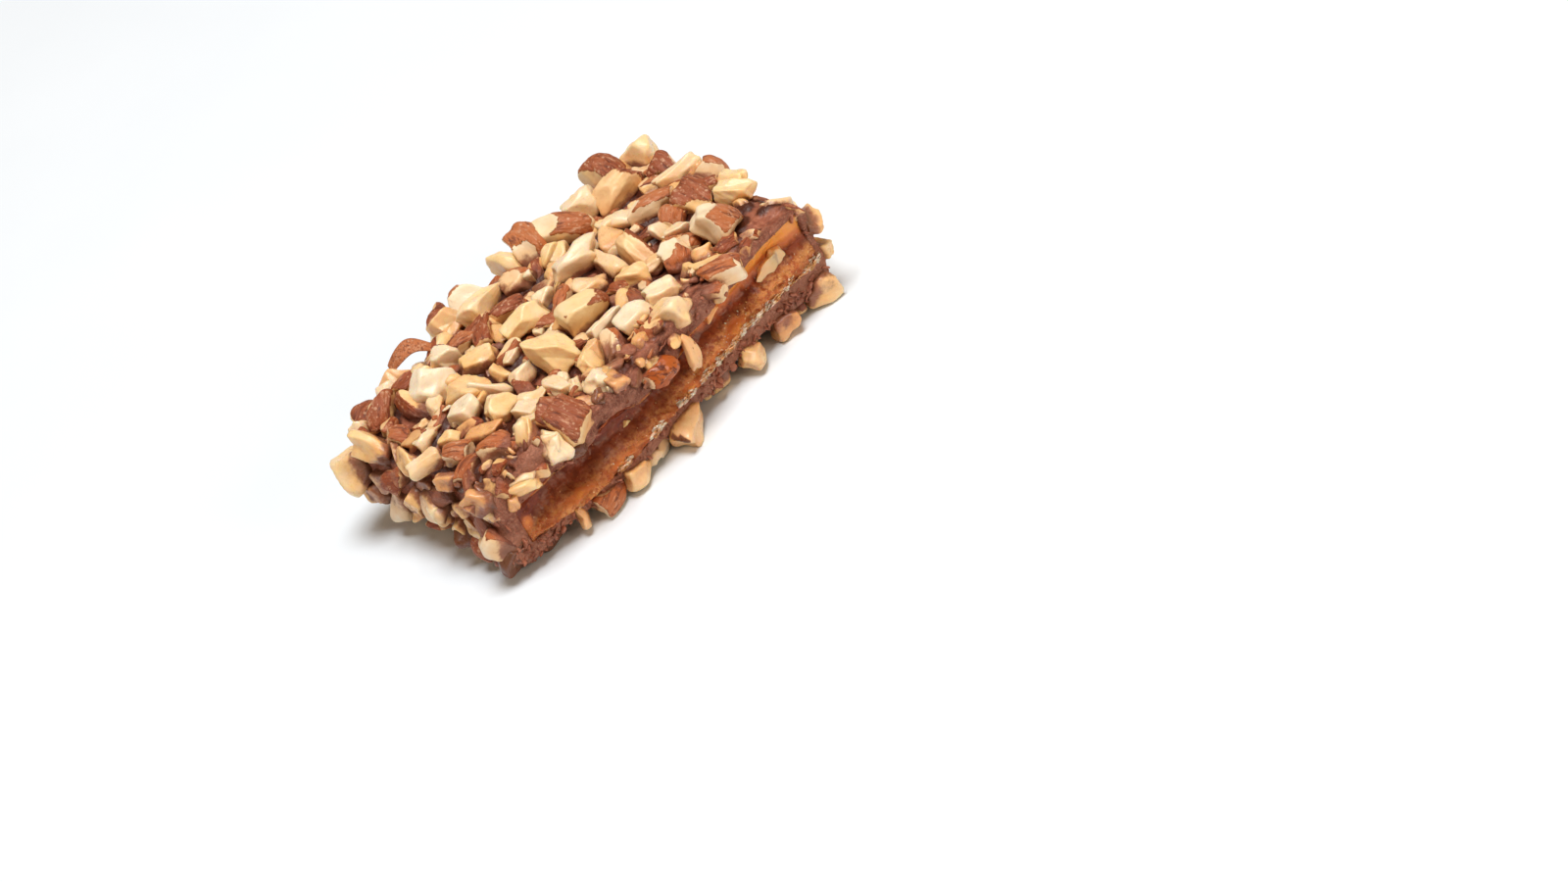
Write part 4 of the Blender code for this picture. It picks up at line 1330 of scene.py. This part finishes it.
# Painted shade: flesh pieces on the near side and low down are pushed towards toasted, darker and warmer, as
# those sides lie in shade.
OUTER_SHADE_TONE = 0.14

# How much higher than on the others the chocolate is smeared on some almonds, in millimetres. It reaches
# higher on the near side, partly as real smears and partly to darken that side as painted shade.
SMEARS = (0.0, 0.0, 0.0, 0.2, 0.5, 0.8)
NEAR_SIDE_X = -23.5 * MM
NEAR_SIDE_SMEAR_AND_SHADE = 0.65
COATED_SMEAR = 3.6


def swells(ways, spacing, rng):
    """Smooth random swells on a unit sphere, about -1 to 1."""
    total = np.zeros(len(ways))
    for _ in range(6):
        wave = unit(random_vector(rng)) * rng.uniform(0.7, 1.4) * 2 * math.pi / spacing
        total += np.sin(ways @ wave + rng.uniform(0, 2 * math.pi))
    return total / 3.0


def tone_of(almond, rng):
    tone = rng.uniform(*TONES.get(almond.look, SKIN_TONES))
    if almond.look not in SKIN_SIDES and (almond.centre[0] < NEAR_SIDE_X or almond.centre[2] < LOW_BITS):
        # Painted shade on the near side and low down.
        tone += OUTER_SHADE_TONE
    return tone


def smear_on(almond, rng):
    """How high chocolate is smeared on an almond piece."""
    smear = rng.choice(SMEARS)
    if almond.look == "white":
        smear = 0.0
    elif almond.look == "coated":
        smear = COATED_SMEAR
    elif almond.centre[0] < NEAR_SIDE_X:
        # More chocolate on the near side: partly real smears, partly painted shade for that side.
        smear += NEAR_SIDE_SMEAR_AND_SHADE
    return smear * MM


def bent(local, half, most, rng):
    """Bends a piece's points into a slight crescent, sideways and up or down. Slim pieces bend less."""
    curve = (local[:, 0] / half[0]) ** 2 - 0.35
    most = most * min(1.0, 1.4 * half[1] / half[0])
    sideways, upwards = rng.uniform(-most, most), rng.uniform(-most, most)
    return local + np.outer(curve * half[0], (0.0, sideways, upwards))


def almond_shape(almond, ways, bend):
    """An almond piece's points along its own axes and in the part's frame, which are skin, and its looks."""
    rng = random.Random(almond.seed + 0.5)
    reach, skin = almond_reach(almond, ways)
    reach = reach * (1.0 + BROAD_SWELL * swells(ways, 1.5, rng) + FINE_SWELL * swells(ways, 0.4, rng))
    local = ways * reach[:, None] * almond.half
    local = local + ways * (SKIN_THICK * smooth_step(skin, -0.01, 0.03))[:, None]
    local = bent(local, almond.half, bend, rng)
    places = almond.centre + local @ almond.axes
    places[:, 2] = np.maximum(places[:, 2], 0.0)
    apart = np.array([rng.uniform(-50, 50) for _ in range(3)])
    return local / MM + apart, places, skin, tone_of(almond, rng), smear_on(almond, rng)


def almond_group(name, almonds, detail, bend, material, surface):
    """Many almond pieces as one object, with what their material reads at each point."""
    mesh, ways = balls(len(almonds), detail)
    shapes = [almond_shape(almond, own, bend) for almond, own in zip(almonds, ways)]
    along, places, skin, tones, smears = zip(*shapes)
    each = ways.shape[1]
    places = np.concatenate(places)
    group = object_from(moved(mesh, places), name, material)
    give(group, "along", np.concatenate(along))
    give(group, "skin", np.clip(np.concatenate(skin), -1.0, 1.0))
    give(group, "tone", np.repeat(tones, each))
    give(group, "height", (heights_over(surface, places) - np.repeat(smears, each)) / MM)
    return group


def tipped(almond, rng):
    """A filling almond, turned about its long axis, thinner or thicker, and heaped on the others."""
    turn = rng.gauss(0.0, 0.5)
    long, wide, thick = almond.axes
    axes = axes_of(long, math.cos(turn) * wide + math.sin(turn) * thick)
    half = almond.half * (1.0, 1.0, rng.uniform(0.55, 1.2))
    out, _ = off_slab(almond.centre)
    centre = almond.centre + out * rng.uniform(0.0, 0.22) * almond.half[1] * 2
    return almond._replace(axes=axes, half=half, centre=centre)


def grain_group(name, material, places, sizes, detail, rng, stretch=(1.0, 1.0, 1.0)):
    """Small irregular lumps as one object."""
    mesh, ways = balls(len(places), detail)
    points = []
    for place, size, own in zip(places, sizes, ways):
        half = size / 2 * np.array([rng.uniform(0.6, 1.3) for _ in range(3)])
        turn = unit_rows(np.array([random_vector(rng) for _ in range(3)]))
        points.append(place + (own * (1.0 + 0.3 * swells(own, 1.6, rng))[:, None] * half) @ turn * stretch)
    points = np.concatenate(points)
    points[:, 2] = np.maximum(points[:, 2], 0.0)
    return object_from(moved(mesh, points), name, material)


def some_of(spots, count, rng):
    return [spots[rng.randrange(len(spots))] for _ in range(count)]


def grains_on(core, count, low, high, sizes, rng):
    """Places and sizes of grains on the broken toffee, between two heights over its underside.

    They lie in patches, and more of them at the far end."""
    places, ways = places_of(core), normals_of(core)
    over = places[:, 2] - toffee_underside(places[:, 0])
    face = np.flatnonzero((ways[:, 1] < 0.1) & (places[:, 1] < break_line(places[:, 0]) + 1.5 * MM))
    band = face[(over[face] > low * MM) & (over[face] < high * MM)]
    patch = [noise.noise(Vector(places[i]) / (2.6 * MM)) + 0.03 * places[i][0] / MM for i in band]
    dense = [i for i, share in zip(band, patch) if share > 0.08]
    chosen = some_of(dense, count, rng)
    spread = [np.array([rng.uniform(-0.3, 0.3), 0.0, rng.gauss(0.0, 0.1)]) * MM for _ in chosen]
    sizes = [rng.uniform(*sizes) * MM for _ in chosen]
    return [places[i] + shift for i, shift in zip(chosen, spread)], sizes


def chocolate_crumbs(coat, rng):
    """Places and sizes of the crumbs that cling to the broken chocolate, most of them under the toffee."""
    places, ways = places_of(coat), normals_of(coat)
    broken = np.flatnonzero((behind_break(places) < 0.5 * MM) & (ways[:, 1] < -0.2))
    low = broken[places[broken, 2] < TOFFEE_UNDERSIDE]
    chosen = some_of(low, CHOCOLATE_CRUMBS, rng) + some_of(broken, CHOCOLATE_CRUMBS // 4, rng)
    sizes = [rng.uniform(0.25, 1.0) * rng.uniform(0.5, 1.0) * MM for _ in chosen]
    return [places[i] + ways[i] * size * 0.15 for i, size in zip(chosen, sizes)], sizes


def almond_crumbs(coat, rng):
    """Tiny bits of almond on the chocolate, half of them near the break."""
    places, ways = places_of(coat), normals_of(coat)
    depth, level = behind_break(places) / MM, ways[:, 2]
    below_top = TOPSIDE - places[:, 2]
    open_top = np.flatnonzero((level > 0.4) & (below_top < 1.5 * MM))
    edge = np.flatnonzero((depth > -1.0) & (depth < 5.0) & (level > 0.3) & (below_top < 2.5 * MM))
    crumbs = []
    for index in range(ALMOND_CRUMBS):
        among = edge if index % 2 else open_top
        spot = among[rng.randrange(len(among))]
        if is_bare(places[spot][0], places[spot][1], "top", -2.0):
            continue
        half = rng.uniform(0.3, 0.6) * MM * np.array([rng.uniform(1.1, 2.2), 1.0, rng.uniform(0.35, 0.7)])
        first = unit(random_vector(rng))
        axes = axes_of(first, unit(np.cross(first, random_vector(rng))))
        centre = places[spot] + ways[spot] * half[1] * 0.5
        crumbs.append(Almond(centre, axes, half, rng.choice(FILLING_LOOKS), CRUMB_SEED + index))
    return crumbs


def buried_almonds():
    """Bits of almond that the break laid open in the toffee."""
    made = []
    for index, (x, recess, z, long, wide, rise) in enumerate(BURIED_ALMONDS):
        slope = math.radians(rise)
        axis = np.array([math.cos(slope), 0.0, math.sin(slope)])
        axes = axes_of(axis, np.array([-math.sin(slope), 0.0, math.cos(slope)]))
        half = np.array([long, wide, 1.2]) / 2 * MM
        centre = np.array([x * MM, float(break_line(x * MM)) + recess * MM, z * MM])
        made.append(Almond(centre, axes, half, "cream", BURIED_SEED + index))
    return made


# Thin flakes of skin: x, depth behind the break, z, length, width and height of the arch in millimetres,
# then the turn in degrees and the tilt
SKIN_CURLS = (
    (-12.2, 28.4, 12.4, 5.4, 1.5, 1.5, 156, 0.7),
    (14.2, 11.0, 11.9, 3.4, 1.5, 0.4, 60, -0.3),
    (20.8, 22.4, 12.2, 3.0, 1.3, 0.4, 150, 0.3),
)
FLAKE = 0.14 * MM


def curl(name, material, row):
    """A flake of skin that curls up: a strip bent into an arch, slimmer towards its ends."""
    x, depth, z, long, wide, high = (value * MM for value in row[:6])
    turn, tilt = math.radians(row[6]), row[7]
    mesh = bmesh.new()
    bmesh.ops.create_grid(mesh, x_segments=24, y_segments=8, size=0.5)
    along, across, _ = vertex_array(mesh).T
    taper = 1.0 - 0.4 * (2 * along) ** 2
    side = across * wide * taper + 0.12 * wide * np.sin(9 * along)
    arch = high * np.cos(math.pi * along) - tilt * across * wide * taper
    places = np.stack([along * long, side, arch], axis=1)
    cos, sin = math.cos(turn), math.sin(turn)
    spin = np.array([[cos, sin, 0.0], [-sin, cos, 0.0], [0.0, 0.0, 1.0]])
    moved(mesh, places @ spin + np.array([x, BREAK_Y + depth, z]))
    bmesh.ops.solidify(mesh, geom=mesh.faces, thickness=FLAKE)
    return object_from(mesh, name, material)


# ---- Camera, light and floor ----


def place_camera():
    """The camera stands where the photograph was taken from, and aims past the piece as it does."""
    level = math.cos(ELEVATION)
    back = Vector((math.sin(AZIMUTH) * level, -math.cos(AZIMUTH) * level, math.sin(ELEVATION)))
    right = Vector((math.cos(AZIMUTH), math.sin(AZIMUTH), 0.0))
    up = back.cross(right)
    rolled_right = right * math.cos(ROLL) - up * math.sin(ROLL)
    rolled_up = right * math.sin(ROLL) + up * math.cos(ROLL)
    picture = SENSOR / LENS
    aim = -back - rolled_right * TARGET_RIGHT * picture + rolled_up * TARGET_DOWN * picture
    new_back = -aim.normalized()
    new_right = rolled_up.cross(new_back).normalized()
    new_up = new_back.cross(new_right)
    data = bpy.data.cameras.new("camera")
    data.lens = LENS
    data.sensor_width = SENSOR
    data.clip_start = 0.01
    data.clip_end = 10.0
    camera = add_object("camera", data)
    turn = Matrix((new_right, new_up, new_back)).transposed().to_4x4()
    camera.matrix_world = Matrix.Translation(VIEW_TARGET + back * CAMERA_DISTANCE) @ turn
    bpy.context.scene.camera = camera


# Square lights that face the origin: name, place, size, power and colour. Then the surround.
LIGHTS = (
    ("overhead", (0.04, -0.06, 0.78), 0.42, 6.5, (1.0, 0.98, 0.95)),
    ("left", (-0.58, -0.30, 0.22), 0.40, 0.45, (1.0, 0.72, 0.48)),
    ("front", (0.25, -0.75, 0.30), 0.30, 1.9, (1.0, 0.79, 0.58)),
)
SURROUND = (1.0, 0.78, 0.58, 1.0)
SURROUND_STRENGTH = 0.21
FLOOR_SIZE = 3.0


def area_light(name, place, size, power, colour):
    data = bpy.data.lights.new(name, "AREA")
    data.shape = "SQUARE"
    data.size = size
    data.energy = power
    data.color = colour
    place = Vector(place)
    turn = place.to_track_quat("Z", "Y").to_matrix().to_4x4()
    add_object(name, data).matrix_world = Matrix.Translation(place) @ turn


def studio():
    """A pale floor, a soft light overhead, weaker ones at the left and in front, and a warm surround."""
    mesh = bmesh.new()
    bmesh.ops.create_grid(mesh, x_segments=1, y_segments=1, size=FLOOR_SIZE)
    data = bpy.data.meshes.new("floor")
    mesh.to_mesh(data)
    mesh.free()
    data.materials.append(floor_material("pale floor"))
    floor = add_object("floor", data)
    for light in LIGHTS:
        area_light(*light)
    world = bpy.data.worlds.new("surround")
    world.use_nodes = True
    background = world.node_tree.nodes["Background"]
    background.inputs["Color"].default_value = SURROUND
    background.inputs["Strength"].default_value = SURROUND_STRENGTH
    bpy.context.scene.world = world
    bpy.context.scene.view_settings.view_transform = "Standard"


# ---- The whole ----


def show(piece, *nodes):
    """The piece moves with the part's only body, and stands for those of its nodes."""
    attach(piece, "root")
    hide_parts(*nodes)


def all_almonds(rng):
    """The part's own almond pieces, the smaller ones placed as listed, and those strewn between them."""
    own = placed_almonds(TOP_ALMONDS + EDGE_ALMONDS + END_ALMONDS + UNDER_ALMONDS, OWN_SEED)
    own = strewn_almonds(own, STREWN, LOOKS, SPACING, BARE_DEPTH, random.Random(SEED), OWN_SEED)
    small = placed_almonds(SMALL_ALMONDS, SMALL_SEED)
    filling = (FILLING, FILLING_LOOKS, FILLING_SPACING, FILLING_BARE_DEPTH)
    every = strewn_almonds(own + small, *filling, random.Random(SEED + 1), FILLING_SEED)
    strewn = [tipped(almond, rng) for almond in every[len(own) + len(small) :]]
    print(len(own), "almond pieces of the part,", len(small), "and", len(strewn), "smaller ones")
    return own, small, strewn


def show_almonds(own, small, strewn, coat, rng):
    """Each kind of almond piece is two objects: those without skin, and those with it."""
    surface = surface_of(coat)
    blanched = blanched_material("blanched almond")
    skin_on = skin_on_material("almond with skin")
    by_eye = len(TOP_ALMONDS + EDGE_ALMONDS + END_ALMONDS)
    for kind, almonds, detail, bend in (
        ("chunks", own[:by_eye], 5, 0.12),
        ("other_chunks", own[by_eye:], 4, 0.12),
        ("small_chunks", small, 4, 0.15),
        ("bits", [bit for bit in strewn if bit.centre[2] > LOW_BITS], 4, 0.25),
        ("low_bits", [bit for bit in strewn if bit.centre[2] <= LOW_BITS], 3, 0.25),
        ("crumbs", almond_crumbs(coat, rng), 3, 0.25),
    ):
        for start, has_skin, material in (("blanched", False, blanched), ("skin_on", True, skin_on)):
            alike = [almond for almond in almonds if (almond.look in SKIN_SIDES) == has_skin]
            group = almond_group(f"{start}_{kind}", alike, detail, bend, material, surface)
            show(group, "chocolate_almond_coat")
    soaked = blanched_material("almond in toffee", (1.0, 0.82, 0.62))
    show(almond_group("buried_almonds", buried_almonds(), 4, 0.1, soaked, surface), "toffee")


def show_grains(coat, core, rng):
    """Crumbs on the broken chocolate, sugar along the foot of the toffee, and grains on its ridge."""
    crumbs = grain_group("chocolate_crumbs", coat.data.materials[0], *chocolate_crumbs(coat, rng), 2, rng)
    # A painted highlight: the crumbs are made a little paler through the crag value.
    give(crumbs, "crag_shading", np.full(len(crumbs.data.vertices), CRUMB_CRAG_SHADING))
    show(crumbs, "chocolate_almond_coat")
    sugar = sugar_material("sugar")
    line = grains_on(core, SUGAR_GRAINS, -0.1, 0.8, SUGAR_SIZES, rng)
    show(grain_group("sugar_line", sugar, *line, 2, rng, SUGAR_STRETCH), "toffee")
    ridge = grains_on(core, RIDGE_GRAINS, 0.6, 2.4, RIDGE_GRAIN_SIZES, rng)
    show(grain_group("ridge_grains", sugar, *ridge, 1, rng), "toffee")


def build():
    rng = random.Random(SEED + 2)
    own, small, strewn = all_almonds(rng)

    coat = chocolate_coat(own + small + strewn)
    show(coat, "chocolate_almond_coat")

    core = toffee_core(toffee_material("amber toffee"))
    show(core, "toffee")

    show_almonds(own, small, strewn, coat, rng)
    show_grains(coat, core, rng)
    loose_skin = loose_skin_material("loose skin")
    for index, row in enumerate(SKIN_CURLS):
        show(curl(f"skin_curl_{index + 1}", loose_skin, row), "chocolate_almond_coat")


place_camera()
studio()
build()
